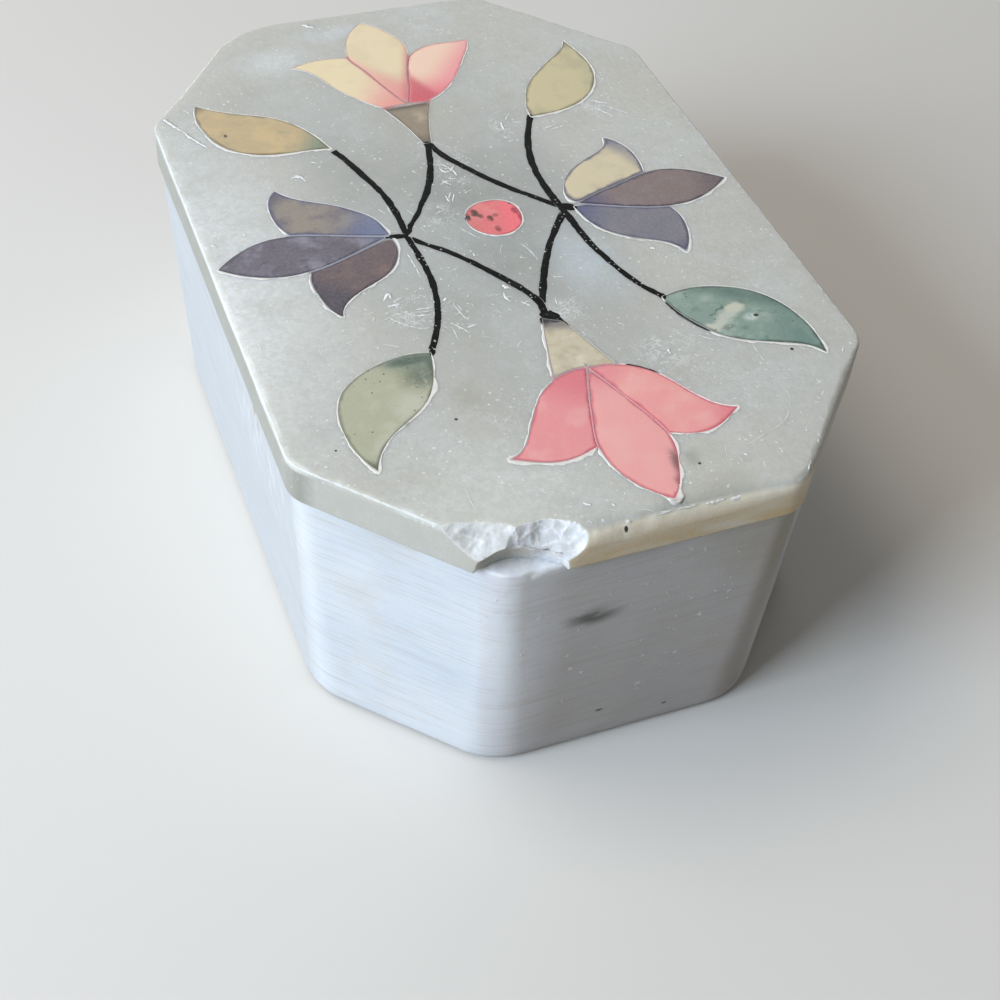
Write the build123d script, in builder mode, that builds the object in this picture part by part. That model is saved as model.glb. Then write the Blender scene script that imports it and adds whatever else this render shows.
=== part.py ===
from build123d import *
import os

# Octagonal marble trinket box: a hollow body cut from one block, and a loose lid with a
# flower pattern of set stones. Millimetres, +X across the lid, +Y along it, +Z up, with
# the origin at the centre of the underside. The nearest end in the usual view is -Y.

# Outline of the lid
lid_width = 66.0
lid_length = 99.0
corner_cut_x = 16.4
corner_cut_y = 18.0
lid_thickness = 5.0
lid_corner_radius = 4.0
lid_top_arris = 0.6
lid_under_arris = 0.3

# Plug under the lid, which drops into the body and keeps the lid in place
plug_depth = 2.5
plug_clearance = 0.6
plug_corner_radius = 3.5
plug_arris = 0.5

# Body, whose walls lean in a little towards the underside
body_height = 34.0
rim_inset = 0.4
base_inset = 1.7
rim_corner_radius = 2.5
base_corner_radius = 6.0
base_arris = 1.2
cavity_inset = 6.0
cavity_corner_radius = 3.0
cavity_floor_fillet = 2.0
floor_thickness = 6.0

# Set stones: their depth, the cement under and around them, and the joint between two
stone_depth = 1.5
bed_depth = 0.3
cement_rim = 0.3
stone_joint = 0.18
stem_width = 0.9

# Heights worked out from the sizes above
rim_height = body_height
lid_top = body_height + lid_thickness
groove_floor = lid_top - stone_depth - bed_depth

os.makedirs("parts", exist_ok=True)


def save(piece, name):
    """Label a finished piece and write it under its own name."""
    piece.label = name
    export_step(piece, f"parts/{name}.step")


def octagon(height, inset, corner_radius):
    """The lid's eight-sided outline on a level plane, moved in by inset, corners rounded."""
    half_x = lid_width / 2
    half_y = lid_length / 2
    with BuildSketch(Plane.XY.offset(height)) as shape:
        with BuildLine():
            Polyline(
                (half_x, corner_cut_y - half_y),
                (half_x, half_y - corner_cut_y),
                (half_x - corner_cut_x, half_y),
                (corner_cut_x - half_x, half_y),
                (-half_x, half_y - corner_cut_y),
                (-half_x, corner_cut_y - half_y),
                (corner_cut_x - half_x, -half_y),
                (half_x - corner_cut_x, -half_y),
                close=True,
            )
        make_face()
        if inset:
            offset(amount=-inset, kind=Kind.INTERSECTION)
        fillet(shape.vertices(), corner_radius)
    return shape.sketch


# Flakes knocked off the corner of the lid at -X -Y, and off the body's rim below it:
# each is a shell-shaped scoop, the centre and radius of a ball
lid_flakes = [
    ((-18.2, -50.3, 38.9), 6.0),
    ((-11.5, -51.5, 41.5), 6.1),
    ((-14.0, -52.0, 33.0), 4.6),
]
rim_flakes = [
    ((-13.4, -52.2, 35.6), 4.4),
]


def knock_off(flakes):
    """Take each flake's ball out of the part that is being built."""
    for centre, radius in flakes:
        with Locations(centre):
            Sphere(radius, mode=Mode.SUBTRACT)


# Body: leaning walls outside, straight walls and a rounded floor inside
with BuildPart() as box_body:
    base_outline = octagon(0, base_inset, base_corner_radius)
    rim_outline = octagon(rim_height, rim_inset, rim_corner_radius)
    loft([base_outline.face(), rim_outline.face()], ruled=True)
    underside = box_body.faces().sort_by(Axis.Z)[0]
    fillet(underside.edges(), base_arris)
    cavity_outline = octagon(floor_thickness, cavity_inset, cavity_corner_radius)
    extrude(cavity_outline, amount=rim_height - floor_thickness, mode=Mode.SUBTRACT)
    cavity_floor = box_body.faces().filter_by(Plane.XY).group_by(Axis.Z)[1]
    fillet(cavity_floor.edges(), cavity_floor_fillet)
    knock_off(rim_flakes)
save(box_body.part, "box_body")


def smooth(points, closed=False):
    """One side of an outline: a line through two points, a smooth curve through more."""
    if len(points) == 2:
        return Line(*points, mode=Mode.PRIVATE)
    return Spline(*points, periodic=closed, mode=Mode.PRIVATE)


def outline(sides, grow=0.0):
    """Flat outline of a stone from its sides, in order; one side alone closes on itself.

    With grow, every side stands out by that much, and an arc goes round each corner.
    """
    closed = len(sides) == 1
    if grow:
        sides = moved_out(sides, grow, closed)
    with BuildSketch() as shape:
        with BuildLine():
            for side in sides:
                add(smooth(side, closed))
        make_face()
    return shape.sketch


def moved_out(sides, distance, closed):
    """The sides moved out square to themselves, with a curve round each corner between."""
    ring = [point for side in sides for point in side[:-1]]
    turning = sum(ax * by - bx * ay for (ax, ay), (bx, by) in zip(ring, ring[1:] + ring[:1]))
    outward = -90 if turning > 0 else 90
    moved = []
    for side in sides:
        curve = smooth(side, closed)
        pieces = 1 if len(side) == 2 else 2 * len(side)
        steps = [step / pieces for step in range(pieces if closed else pieces + 1)]
        moved.append([curve @ t + (curve % t).rotate(Axis.Z, outward) * distance for t in steps])
    if closed:
        return moved
    joined = []
    for index, side in enumerate(moved):
        corner = Vector(*sides[index][-1])
        start = moved[(index + 1) % len(moved)][0]
        middle = corner + ((side[-1] + start) / 2 - corner).normalized() * distance
        joined += [side, [side[-1], middle, start]]
    return joined


def fitted(sides, *neighbours):
    """The outline less its neighbours and the joint of cement along them."""
    edges = [outline(neighbour, stone_joint) for neighbour in neighbours]
    with BuildSketch() as cut:
        add(outline(sides))
        for edge in edges:
            add(edge, mode=Mode.SUBTRACT)
    return cut.sketch


def stem(*points):
    """Outline of a stem: a strip of even width along a smooth curve."""
    with BuildSketch() as strip:
        with BuildLine():
            Spline(*points)
        trace(line_width=stem_width)
    return strip.sketch


# Flower at the back, +Y: three petals that open away from the viewer, on a calyx
base, tip = (-0.8, 27.0), (-0.7, 47.4)
back_middle = [
    [base, (-1.7, 29.2), (-2.9, 33.0), (-4.0, 36.5), (-4.9, 39.4), (-4.4, 42.2), (-3.0, 45.2), tip],
    [tip, (1.4, 45.2), (2.7, 42.8), (3.3, 40.3), (2.9, 38.0), (1.8, 35.0), (0.9, 32.0), base],
]
tip, shoulder, foot = (-12.8, 38.8), (-4.6, 39.2), (-4.1, 26.8)
back_left = [
    [shoulder, (-7.7, 39.8), (-10.7, 39.6), tip],
    [tip, (-11.1, 37.6), (-9.7, 35.0), (-8.4, 32.2), (-6.8, 29.8), foot],
    [foot, base],
    [base, shoulder],
]
tip, shoulder, foot = (11.9, 39.7), (2.7, 37.1), (1.9, 26.8)
back_right = [
    [shoulder, (4.6, 38.9), (7.0, 39.7), (9.4, 39.6), tip],
    [tip, (11.3, 37.8), (10.0, 35.6), (8.1, 32.4), (6.0, 29.7), foot],
    [foot, base],
    [base, (0.3, 32.4), shoulder],
]
back_calyx = [
    [(-4.1, 26.5), (-3.1, 23.5), (-2.3, 20.6), (-1.8, 17.8)],
    [(-1.8, 17.8), (-0.7, 17.8)],
    [(-0.7, 17.8), (0.1, 21.0), (1.2, 24.2), (2.2, 26.5)],
    [(2.2, 26.5), (-4.1, 26.5)],
]

# Flower at the front, -Y
base, tip = (1.5, -27.3), (2.2, -47.8)
front_middle = [
    [base, (0.1, -31.0), (-1.2, -35.0), (-2.1, -38.6), (-1.8, -42.2), (-0.4, -45.2), tip],
    [tip, (3.4, -46.4), (4.7, -43.6), (5.6, -40.4), (5.3, -37.6), (3.9, -33.5), (2.6, -30.0), base],
]
tip, foot = (-11.7, -37.6), (-1.4, -38.2)
front_left = [
    [(1.3, -27.0), (-2.7, -27.8), (-4.8, -29.4), (-6.4, -31.5), (-8.0, -34.1), (-9.5, -36.4), tip],
    [tip, (-9.9, -38.5), (-7.6, -39.4), (-5.4, -39.5), (-3.4, -39.0), foot],
    [foot, (1.3, -27.0)],
]
tip, foot = (14.5, -37.5), (4.9, -38.4)
front_right = [
    [(1.7, -27.1), (3.9, -27.3), (6.2, -28.1), (8.3, -29.9), (10.1, -32.8), (12.4, -36.3), tip],
    [tip, (13.2, -38.4), (11.5, -39.4), (9.4, -39.9), (7.3, -39.5), foot],
    [foot, (1.7, -27.1)],
]
front_calyx = [
    [(-0.2, -17.9), (-0.7, -19.9), (-1.7, -23.6), (-2.8, -28.2)],
    [(-2.8, -28.2), (4.9, -27.8)],
    [(4.9, -27.8), (3.9, -25.0), (2.9, -22.0), (1.9, -19.0)],
    [(1.9, -19.0), (-0.2, -17.9)],
]

# Flower on the left, -X
base, tip = (-11.8, 1.0), (-32.2, 0.6)
left_middle = [
    [base, (-15.4, 2.1), (-19.0, 3.3), (-22.6, 4.3), (-25.6, 4.3), (-28.2, 3.5), (-30.6, 2.0), tip],
    [tip, (-30.0, -1.1), (-27.4, -2.3), (-24.7, -2.8), (-21.8, -2.5), (-16.0, -0.6), base],
]
tip = (-22.1, 13.3)
left_upper = [
    [(-11.6, 1.4), (-11.9, 3.3), (-12.5, 5.0), (-14.1, 6.9), (-16.4, 8.8), (-19.0, 10.3), tip],
    [tip, (-23.2, 12.0), (-23.8, 9.6), (-23.6, 6.6), (-22.2, 3.8)],
    [(-22.2, 3.8), (-16.5, 1.6), (-11.6, 1.4)],
]
tip = (-21.1, -11.4)
left_lower = [
    [(-11.6, 0.6), (-11.5, -1.5), (-12.2, -3.4), (-13.7, -5.3), (-15.8, -6.6), (-20.2, -9.4), tip],
    [tip, (-22.0, -10.0), (-22.7, -7.2), (-22.8, -4.4), (-21.6, -1.9)],
    [(-21.6, -1.9), (-16.5, -0.2), (-11.6, 0.6)],
]

# Flower on the right, +X
base, tip = (12.2, 0.8), (31.9, 0.6)
right_middle = [
    [base, (15.4, 2.1), (19.3, 3.3), (22.4, 4.3), (24.8, 4.5), (27.2, 3.9), (29.8, 2.3), tip],
    [tip, (30.0, -0.8), (27.4, -2.2), (24.8, -2.8), (22.2, -2.7), (19.3, -2.0), (15.8, -0.7), base],
]
tip = (20.6, 12.9)
right_upper = [
    [(11.9, 1.2), (11.3, 2.6), (11.7, 4.4), (12.9, 6.4), (14.9, 8.1), (17.7, 9.6), (19.8, 11.0), tip],
    [tip, (21.9, 11.5), (22.7, 9.6), (22.9, 7.2), (22.3, 3.9)],
    [(22.3, 3.9), (16.5, 1.8), (11.9, 1.2)],
]
tip = (20.7, -11.7)
right_lower = [
    [(11.4, 0.4), (11.7, -1.8), (12.5, -4.1), (14.0, -6.0), (16.3, -7.7), (18.6, -8.9), (19.9, -10.0), tip],
    [tip, (21.8, -10.1), (22.8, -7.6), (23.1, -5.0), (22.3, -2.3)],
    [(22.3, -2.3), (16.5, -0.4), (11.4, 0.4)],
]

# Leaves, each from the end of its stem to its tip
base, tip = (-13.2, 20.0), (-26.9, 33.6)
back_left_leaf = [
    [base, (-14.1, 22.7), (-15.4, 25.3), (-17.4, 27.7), (-20.0, 29.4), (-22.9, 30.8), (-25.2, 32.2), tip],
    [tip, (-27.5, 30.6), (-27.1, 26.9), (-25.7, 23.8), (-23.3, 21.7), (-20.6, 20.7), (-17.0, 20.4), base],
]
base, tip = (13.5, 19.8), (24.6, 35.8)
back_right_leaf = [
    [base, (13.9, 22.4), (14.8, 25.0), (16.3, 27.5), (18.6, 29.8), (21.3, 32.1), (23.5, 34.0), tip],
    [tip, (25.4, 32.6), (25.7, 29.4), (25.1, 26.2), (23.4, 23.3), (21.1, 21.3), (18.2, 20.2), base],
]
base, tip = (-13.9, -19.7), (-24.8, -35.2)
front_left_leaf = [
    [base, (-16.7, -19.3), (-19.6, -19.8), (-22.4, -21.0), (-24.8, -23.0), (-26.3, -26.6), tip],
    [tip, (-24.0, -33.4), (-21.8, -30.8), (-19.2, -29.0), (-16.8, -27.0), (-15.1, -24.2), base],
]
base, tip = (14.4, -18.4), (28.0, -32.8)
front_right_leaf = [
    [base, (16.4, -17.9), (19.2, -17.9), (22.0, -18.7), (24.4, -20.0), (26.4, -22.1), (28.3, -27.4), tip],
    [tip, (27.2, -31.4), (24.2, -29.7), (21.3, -28.5), (18.7, -27.1), (16.6, -24.6), (15.2, -21.9), base],
]

# Hand-ground disc in the middle
centre_disc = [
    [(-2.1, 1.5), (-1.0, 3.5), (1.4, 4.4), (4.1, 3.4), (4.7, 0.8), (3.5, -1.6), (1.1, -2.4), (-1.3, -1.1)],
]

# Stems between the flowers, and out to the leaves
stem_back_left = stem((-13.0, 19.4), (-12.0, 16.7), (-11.0, 13.4), (-10.1, 10.0), (-9.6, 6.2), (-9.9, 0.7))
stem_back_right = stem((13.3, 19.6), (12.0, 17.0), (10.8, 14.0), (9.9, 10.7), (9.5, 6.0), (9.8, 0.6))
stem_front_left = stem((-9.9, 0.7), (-9.7, -2.0), (-9.6, -5.0), (-9.8, -8.7), (-10.5, -12.3), (-13.6, -19.3))
stem_front_right = stem((9.8, 0.6), (10.1, -3.6), (10.5, -7.4), (11.3, -10.9), (12.4, -14.4), (14.3, -18.0))
stem_top_left = stem((-1.3, 17.6), (-2.5, 13.1), (-4.1, 9.2), (-6.1, 5.9), (-8.3, 2.8), (-10.6, 0.5))
stem_top_right = stem((-1.1, 17.6), (-0.2, 14.6), (1.5, 11.6), (3.8, 8.0), (6.2, 4.9), (10.5, 0.2))
stem_low_left = stem(
    (-11.0, 1.6), (-8.5, -1.2), (-5.4, -4.6), (-3.1, -7.9), (-1.2, -11.0), (0.6, -15.1), (0.4, -17.8)
)
stem_low_right = stem((10.3, 0.6), (8.3, -2.1), (6.0, -5.3), (4.0, -8.7), (2.4, -12.0), (0.9, -15.4))

# Every stone of each cemented group, and the stones beside it that it is cut back from
groups = {
    "back_flower": {
        "middle_petal": [back_middle],
        "left_petal": [back_left, back_middle],
        "right_petal": [back_right, back_middle],
        "calyx": [back_calyx, back_left, back_right],
    },
    "front_flower": {
        "middle_petal": [front_middle],
        "left_petal": [front_left, front_middle],
        "right_petal": [front_right, front_middle],
        "calyx": [front_calyx, front_left, front_right, front_middle],
    },
    "left_flower": {
        "middle_petal": [left_middle],
        "upper_petal": [left_upper, left_middle],
        "lower_petal": [left_lower, left_middle],
    },
    "right_flower": {
        "middle_petal": [right_middle],
        "upper_petal": [right_upper, right_middle],
        "lower_petal": [right_lower, right_middle],
    },
    "leaves": {
        "back_left_leaf": [back_left_leaf],
        "back_right_leaf": [back_right_leaf],
        "front_left_leaf": [front_left_leaf],
        "front_right_leaf": [front_right_leaf],
    },
    "centre": {
        "disc": [centre_disc],
    },
}
stones = {
    group_name: {name: fitted(*sides) for name, sides in group.items()}
    for group_name, group in groups.items()
}

# Stems are let in tight, without cement, each cut to the stones and stems set before it
stems = {}
for name, strip in {
    "stem_back_left": stem_back_left,
    "stem_back_right": stem_back_right,
    "stem_front_left": stem_front_left,
    "stem_front_right": stem_front_right,
    "stem_top_left": stem_top_left,
    "stem_top_right": stem_top_right,
    "stem_low_left": stem_low_left,
    "stem_low_right": stem_low_right,
}.items():
    with BuildSketch() as cut_strip:
        add(strip)
        for group in stones.values():
            for shape in group.values():
                add(shape, mode=Mode.SUBTRACT)
        for earlier in stems.values():
            add(earlier, mode=Mode.SUBTRACT)
    stems[name] = cut_strip.sketch.faces().sort_by(SortBy.AREA)[-1]

# Stones and stems as solids, flush with the lid's top
for group_name, group in stones.items():
    for name, shape in group.items():
        with BuildPart() as stone:
            with BuildSketch(Plane.XY.offset(lid_top - stone_depth)):
                add(shape)
            extrude(amount=stone_depth)
        save(stone.part, name if group_name == "leaves" else f"{group_name}_{name}")
for name, shape in stems.items():
    with BuildPart() as stone:
        with BuildSketch(Plane.XY.offset(groove_floor)):
            add(shape)
        extrude(amount=lid_top - groove_floor)
    save(stone.part, name)

# White cement: fills each group's pocket under and around its stones
pockets = {}
for group_name, group in groups.items():
    edges = [outline(sides[0], cement_rim) for sides in group.values()]
    with BuildSketch() as pocket:
        for edge in edges:
            add(edge)
    pockets[group_name] = pocket.sketch
    with BuildPart() as cement:
        with BuildSketch(Plane.XY.offset(groove_floor)):
            add(pocket.sketch)
            for shape in stems.values():
                add(shape, mode=Mode.SUBTRACT)
        extrude(amount=lid_top - groove_floor)
        with BuildSketch(Plane.XY.offset(lid_top - stone_depth)):
            for shape in stones[group_name].values():
                add(shape)
        extrude(amount=stone_depth, mode=Mode.SUBTRACT)
    save(cement.part, f"cement_{group_name}")

# Lid: the slab with its plug, pockets and grooves, less the flakes at its broken corner
with BuildPart() as lid_slab:
    extrude(octagon(rim_height, 0, lid_corner_radius), amount=lid_thickness)
    fillet(lid_slab.faces().sort_by(Axis.Z)[-1].edges(), lid_top_arris)
    fillet(lid_slab.faces().sort_by(Axis.Z)[0].edges(), lid_under_arris)
    plug_outline = octagon(rim_height, cavity_inset + plug_clearance, plug_corner_radius)
    extrude(plug_outline, amount=-plug_depth)
    fillet(lid_slab.faces().sort_by(Axis.Z)[0].edges(), plug_arris)
    with BuildSketch(Plane.XY.offset(groove_floor)):
        for shape in list(pockets.values()) + list(stems.values()):
            add(shape)
    extrude(amount=lid_top - groove_floor, mode=Mode.SUBTRACT)
    knock_off(lid_flakes)
save(lid_slab.part, "lid_slab")
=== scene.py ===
import math

import bmesh
import bpy
import numpy as np
from mathutils import Matrix, Vector


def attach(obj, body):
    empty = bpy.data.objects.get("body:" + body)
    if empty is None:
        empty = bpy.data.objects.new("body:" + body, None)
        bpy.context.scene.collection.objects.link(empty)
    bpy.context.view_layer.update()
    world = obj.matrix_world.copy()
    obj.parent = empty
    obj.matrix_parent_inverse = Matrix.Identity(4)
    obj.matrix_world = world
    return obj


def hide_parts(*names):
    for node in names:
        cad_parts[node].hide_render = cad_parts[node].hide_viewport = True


# Marble trinket box with a stone-inlaid lid. Sizes here are in millimetres until they
# reach a mesh or a lamp; +X runs across the lid, +Y away from the chipped end, +Z up.

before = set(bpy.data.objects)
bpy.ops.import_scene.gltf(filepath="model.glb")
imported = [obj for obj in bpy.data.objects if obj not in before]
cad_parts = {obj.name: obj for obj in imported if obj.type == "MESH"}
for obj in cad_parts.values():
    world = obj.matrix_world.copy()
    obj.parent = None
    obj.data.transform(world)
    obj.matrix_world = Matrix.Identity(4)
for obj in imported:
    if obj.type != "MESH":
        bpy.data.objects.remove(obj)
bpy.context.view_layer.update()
mm = 0.001
print("frame loaded:", len(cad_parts), "nodes")


def lattice(points, size, seed):
    # Random numbers on a cubic grid of that size, blended between its corners with
    # 3t^2 - 2t^3 along each axis; the result runs from 0 to 1
    table = np.random.default_rng(seed).random((32, 32, 32))
    cell = np.floor(points / size).astype(int)
    part = points / size - cell
    part = part * part * (3 - 2 * part)
    total = np.zeros(points.shape[:-1])
    for corner in np.ndindex(2, 2, 2):
        spot = (cell + np.array(corner)) % 32
        weight = np.prod(np.where(np.array(corner), part, 1 - part), axis=-1)
        total += weight * table[spot[..., 0], spot[..., 1], spot[..., 2]]
    return total


def atZero(flat):
    # Points in a plane with a third coordinate of 0
    return np.concatenate([flat, np.zeros((*flat.shape[:-1], 1))], -1)


def rough(points, size, seed, layers=3):
    # Sum of lattices, each half the size and half the height of the last, about zero
    return sum((lattice(points, size / 2**k, seed + k) - 0.5) / 2**k for k in range(layers))


def ramp(value, low, high):
    # 0 below low and 1 above high, with 3t^2 - 2t^3 in between
    t = np.clip((value - low) / (high - low), 0, 1)
    return t * t * (3 - 2 * t)


def surface(name, grid, ends, marks):
    # A grid of points whose columns close on themselves. Its rows close too where ends
    # is "joined", and otherwise one flat face shuts the first row and another the last.
    rows, columns = grid.shape[:2]
    index = np.arange(rows * columns).reshape(rows, columns)
    a = index if ends == "joined" else index[:-1]
    d = np.roll(index, -1, 0)[: len(a)]
    faces = np.stack([a, np.roll(a, -1, 1), np.roll(d, -1, 1), d], -1).reshape(-1, 4).tolist()
    if ends != "joined":
        faces += [index[0][::-1].tolist(), index[-1].tolist()]
    # Signed volume of the closed grid, from the triple product of each quad's corners
    p = grid.reshape(-1, 3)
    quads = np.array(faces[: a.size])
    volume = np.einsum("ij,ij->", p[quads[:, 0]], np.cross(p[quads[:, 1]], p[quads[:, 2]]))
    volume += np.einsum("ij,ij->", p[quads[:, 0]], np.cross(p[quads[:, 2]], p[quads[:, 3]]))
    if volume < 0:
        faces = [face[::-1] for face in faces]
    mesh = bpy.data.meshes.new(name)
    mesh.from_pydata((p * mm).tolist(), [], faces)
    mesh.polygons.foreach_set("use_smooth", np.ones(len(faces), bool))
    for key, values in marks.items():
        mark = mesh.attributes.new(key, "FLOAT", "POINT")
        mark.data.foreach_set("value", np.broadcast_to(values, (rows, columns)).astype(np.float32).ravel())
    mesh.update()
    return mesh


def merged(name, parts):
    # One mesh of several, which are used up
    whole = bmesh.new()
    for part in parts:
        whole.from_mesh(part)
        bpy.data.meshes.remove(part)
    mesh = bpy.data.meshes.new(name)
    whole.to_mesh(mesh)
    whole.free()
    return mesh


def place(name, mesh, material, body, nodes, slot):
    piece = bpy.data.objects.new(name, mesh)
    bpy.context.scene.collection.objects.link(piece)
    mesh.materials.append(material)
    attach(piece, body)
    if nodes:
        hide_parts(*nodes)


def linear(hexColour):
    # sRGB hex to linear light: c / 12.92 up to 0.04045, ((c + 0.055) / 1.055)^2.4 above
    parts = [int(hexColour[i:i + 2], 16) / 255 for i in (1, 3, 5)]
    return (*[c / 12.92 if c <= 0.04045 else ((c + 0.055) / 1.055) ** 2.4 for c in parts], 1)


def add(tree, kind, links=None, **settings):
    # One node: settings are its own properties; links names its sockets, each with a
    # value or with another node's output
    node = tree.nodes.new("ShaderNode" + kind)
    for key, value in settings.items():
        setattr(node, key, value)
    for key, value in (links or {}).items():
        if isinstance(value, bpy.types.NodeSocket):
            tree.links.new(value, node.inputs[key])
        else:
            node.inputs[key].default_value = value
    return node


def startMaterial(name, roughness, ior, **sockets):
    # A principled surface, and the piece's own coordinates in millimetres
    material = bpy.data.materials.new(name)
    material.use_nodes = True
    tree = material.node_tree
    tree.nodes.clear()
    shader = add(tree, "BsdfPrincipled", {"Roughness": roughness, "IOR": ior, **sockets})
    out = add(tree, "OutputMaterial")
    tree.links.new(shader.outputs[0], out.inputs[0])
    own = add(tree, "TexCoord").outputs["Object"]
    at = add(tree, "VectorMath", {0: own, 1: (1000, 1000, 1000)}, operation="MULTIPLY").outputs[0]
    return material, tree, shader, at


def clouds(tree, at, size, low, high, seed=0, detail=3, stretch=(1, 1, 1), turn=(0, 0, 0)):
    # Soft noise whose features are about size mm across, times stretch, in a frame turned
    # by those degrees: 0 below low and 1 above high
    moved = add(tree, "Mapping", {0: at, 1: (seed * 13.7, seed * 7.1, seed * 3.3),
                                  2: [math.radians(t) for t in turn],
                                  3: [size * s for s in stretch]}, vector_type="TEXTURE").outputs[0]
    noise = add(tree, "TexNoise", {"Vector": moved, "Scale": 1, "Detail": detail})
    return add(tree, "MapRange", {0: noise.outputs[0], 1: low, 2: high},
               interpolation_type="SMOOTHSTEP").outputs[0]


def bend(tree, at, size, reach):
    # The place moved to and fro by about a quarter of reach, by noise size mm across
    noise = add(tree, "TexNoise", {"Vector": at, "Scale": 1 / size, "Detail": 3}).outputs["Color"]
    even = add(tree, "VectorMath", {0: noise, 1: (0.5, 0.5, 0.5)}, operation="SUBTRACT").outputs[0]
    return add(tree, "VectorMath", {0: even, 1: (reach, reach, reach), 2: at},
               operation="MULTIPLY_ADD").outputs[0]


def specks(tree, at, size, radius, share, seed=0):
    # Round dots of up to that radius in mm, on a share of cells size mm across
    moved = add(tree, "VectorMath", {0: at, 1: (seed * 5.3, seed * 9.1, seed * 1.7)}).outputs[0]
    cells = add(tree, "TexVoronoi", {"Vector": moved, "Scale": 1 / size})
    kept = add(tree, "SeparateColor", {0: cells.outputs["Color"]}).outputs[0]
    reach = add(tree, "MapRange", {0: kept, 1: 1 - share, 2: 1, 3: 0, 4: radius / size}).outputs[0]
    inside = add(tree, "Math", {0: reach, 1: cells.outputs["Distance"]}, operation="SUBTRACT").outputs[0]
    return add(tree, "MapRange", {0: inside, 1: 0, 2: 0.3 * radius / size}).outputs[0]


def spot(tree, at, centre, size, soft=0.5):
    # 1 inside an ellipsoid with those half sizes, fading out over the soft share of them;
    # a half size of 0 stands for no limit that way
    away = add(tree, "VectorMath", {0: at, 1: centre}, operation="SUBTRACT").outputs[0]
    scaled = add(tree, "VectorMath", {0: away, 1: [1 / s if s else 0 for s in size]},
                 operation="MULTIPLY").outputs[0]
    reach = add(tree, "VectorMath", {0: scaled}, operation="LENGTH").outputs["Value"]
    return add(tree, "MapRange", {0: reach, 1: 1, 2: 1 - soft}, interpolation_type="SMOOTHSTEP").outputs[0]


def stroke(tree, at, start, end, width):
    # 1 along a line drawn on the top from start to end, that wide: the distance to the
    # line is the length of (|u| - half the line's length, or 0 if less, v)
    (ax, ay), (bx, by) = start, end
    middle = ((ax + bx) / 2, (ay + by) / 2, 0)
    half = math.hypot(bx - ax, by - ay) / 2
    own = add(tree, "Mapping", {0: at, 1: middle, 2: (0, 0, math.atan2(by - ay, bx - ax))},
              vector_type="TEXTURE").outputs[0]
    flat = add(tree, "VectorMath", {0: own, 1: (1, 1, 0)}, operation="MULTIPLY").outputs[0]
    plain = add(tree, "VectorMath", {0: flat}, operation="ABSOLUTE").outputs[0]
    less = add(tree, "VectorMath", {0: plain, 1: (half, 0, 0)}, operation="SUBTRACT").outputs[0]
    past = add(tree, "VectorMath", {0: less, 1: (0, 0, 0)}, operation="MAXIMUM").outputs[0]
    reach = add(tree, "VectorMath", {0: past}, operation="LENGTH").outputs["Value"]
    return add(tree, "MapRange", {0: reach, 1: width / 2, 2: width / 5}).outputs[0]


def wash(tree, at, start, end):
    # 0 at start and before it, 1 at end and past it, even across that line
    along = np.array(end, float) - np.array(start, float)
    along = along / (along @ along)
    away = add(tree, "VectorMath", {0: at, 1: (*start, 0)}, operation="SUBTRACT").outputs[0]
    share = add(tree, "VectorMath", {0: away, 1: (*along, 0)}, operation="DOT_PRODUCT").outputs["Value"]
    return add(tree, "MapRange", {0: share}, interpolation_type="SMOOTHSTEP").outputs[0]


def together(tree, how, *masks):
    # Several masks or numbers taken together: their product, their highest, and so on
    total = masks[0]
    for mask in masks[1:]:
        total = add(tree, "Math", {0: total, 1: mask}, operation=how).outputs[0]
    return total


def coats(tree, ground, layers):
    # Colours laid over a ground colour one after another. A layer is its colour and then
    # its masks, whose product says where it covers.
    colour = linear(ground)
    for hexColour, *masks in layers:
        mask = together(tree, "MULTIPLY", *masks)
        colour = add(tree, "Mix", {0: mask, 6: colour, 7: linear(hexColour)}, data_type="RGBA").outputs[2]
    return colour


def relief(tree, shader, height, depth):
    # Surface relief: height 0 to 1 stands for 0 to depth mm
    bump = add(tree, "Bump", {"Height": height, "Strength": 1, "Distance": depth * mm})
    tree.links.new(bump.outputs[0], shader.inputs["Normal"])


outlineLook = {
    "width": 66.0,
    "length": 99.0,
    "cutX": 16.4,
    "cutY": 18.0,
    "spacing": 0.5,         # between points along the sides
    "fineSpacing": 0.14,    # near the broken corner
    "fineReach": 13.0,      # how far from that corner the fine points go
}


def octagonPath(look):
    # Where each point of the outline lies: its corner, how far round that corner's arc
    # (0 to 1) and how far along the side after it (0 to 1)
    halfX, halfY = look["width"] / 2, look["length"] / 2
    inX, inY = halfX - look["cutX"], halfY - look["cutY"]
    corners = np.array([(halfX, -inY), (halfX, inY), (inX, halfY), (-inX, halfY), (-halfX, inY),
                        (-halfX, -inY), (-inX, -halfY), (inX, -halfY)])
    side = np.roll(corners, -1, 0) - corners
    normal = np.stack([side[:, 1], -side[:, 0]], -1) / np.linalg.norm(side, axis=1)[:, None]
    broken = corners[6]
    which, arc, along = [], [], []
    for k in range(8):
        turns = 26 if k == 6 else 12
        fine = np.linspace(0, 1, 4000)
        at = corners[k] + fine[:, None] * side[k]
        near = np.linalg.norm(at - broken, axis=1) < look["fineReach"]
        pace = np.cumsum(1 / np.where(near, look["fineSpacing"], look["spacing"]))
        steps = int(pace[-1] * np.linalg.norm(side[k]) / len(fine))
        even = np.interp(np.arange(1, steps) / steps, (pace - pace[0]) / (pace[-1] - pace[0]), fine)
        which += [k] * (turns + len(even))
        arc += np.linspace(0, 1, turns).tolist() + [1.0] * len(even)
        along += [0.0] * turns + even.tolist()
    before = np.roll(normal, 1, 0)
    mitre = (before + normal) / (1 + np.sum(before * normal, 1))[:, None]
    return corners, normal, before, mitre, np.array(which), np.array(arc), np.array(along)


path = octagonPath(outlineLook)


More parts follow.
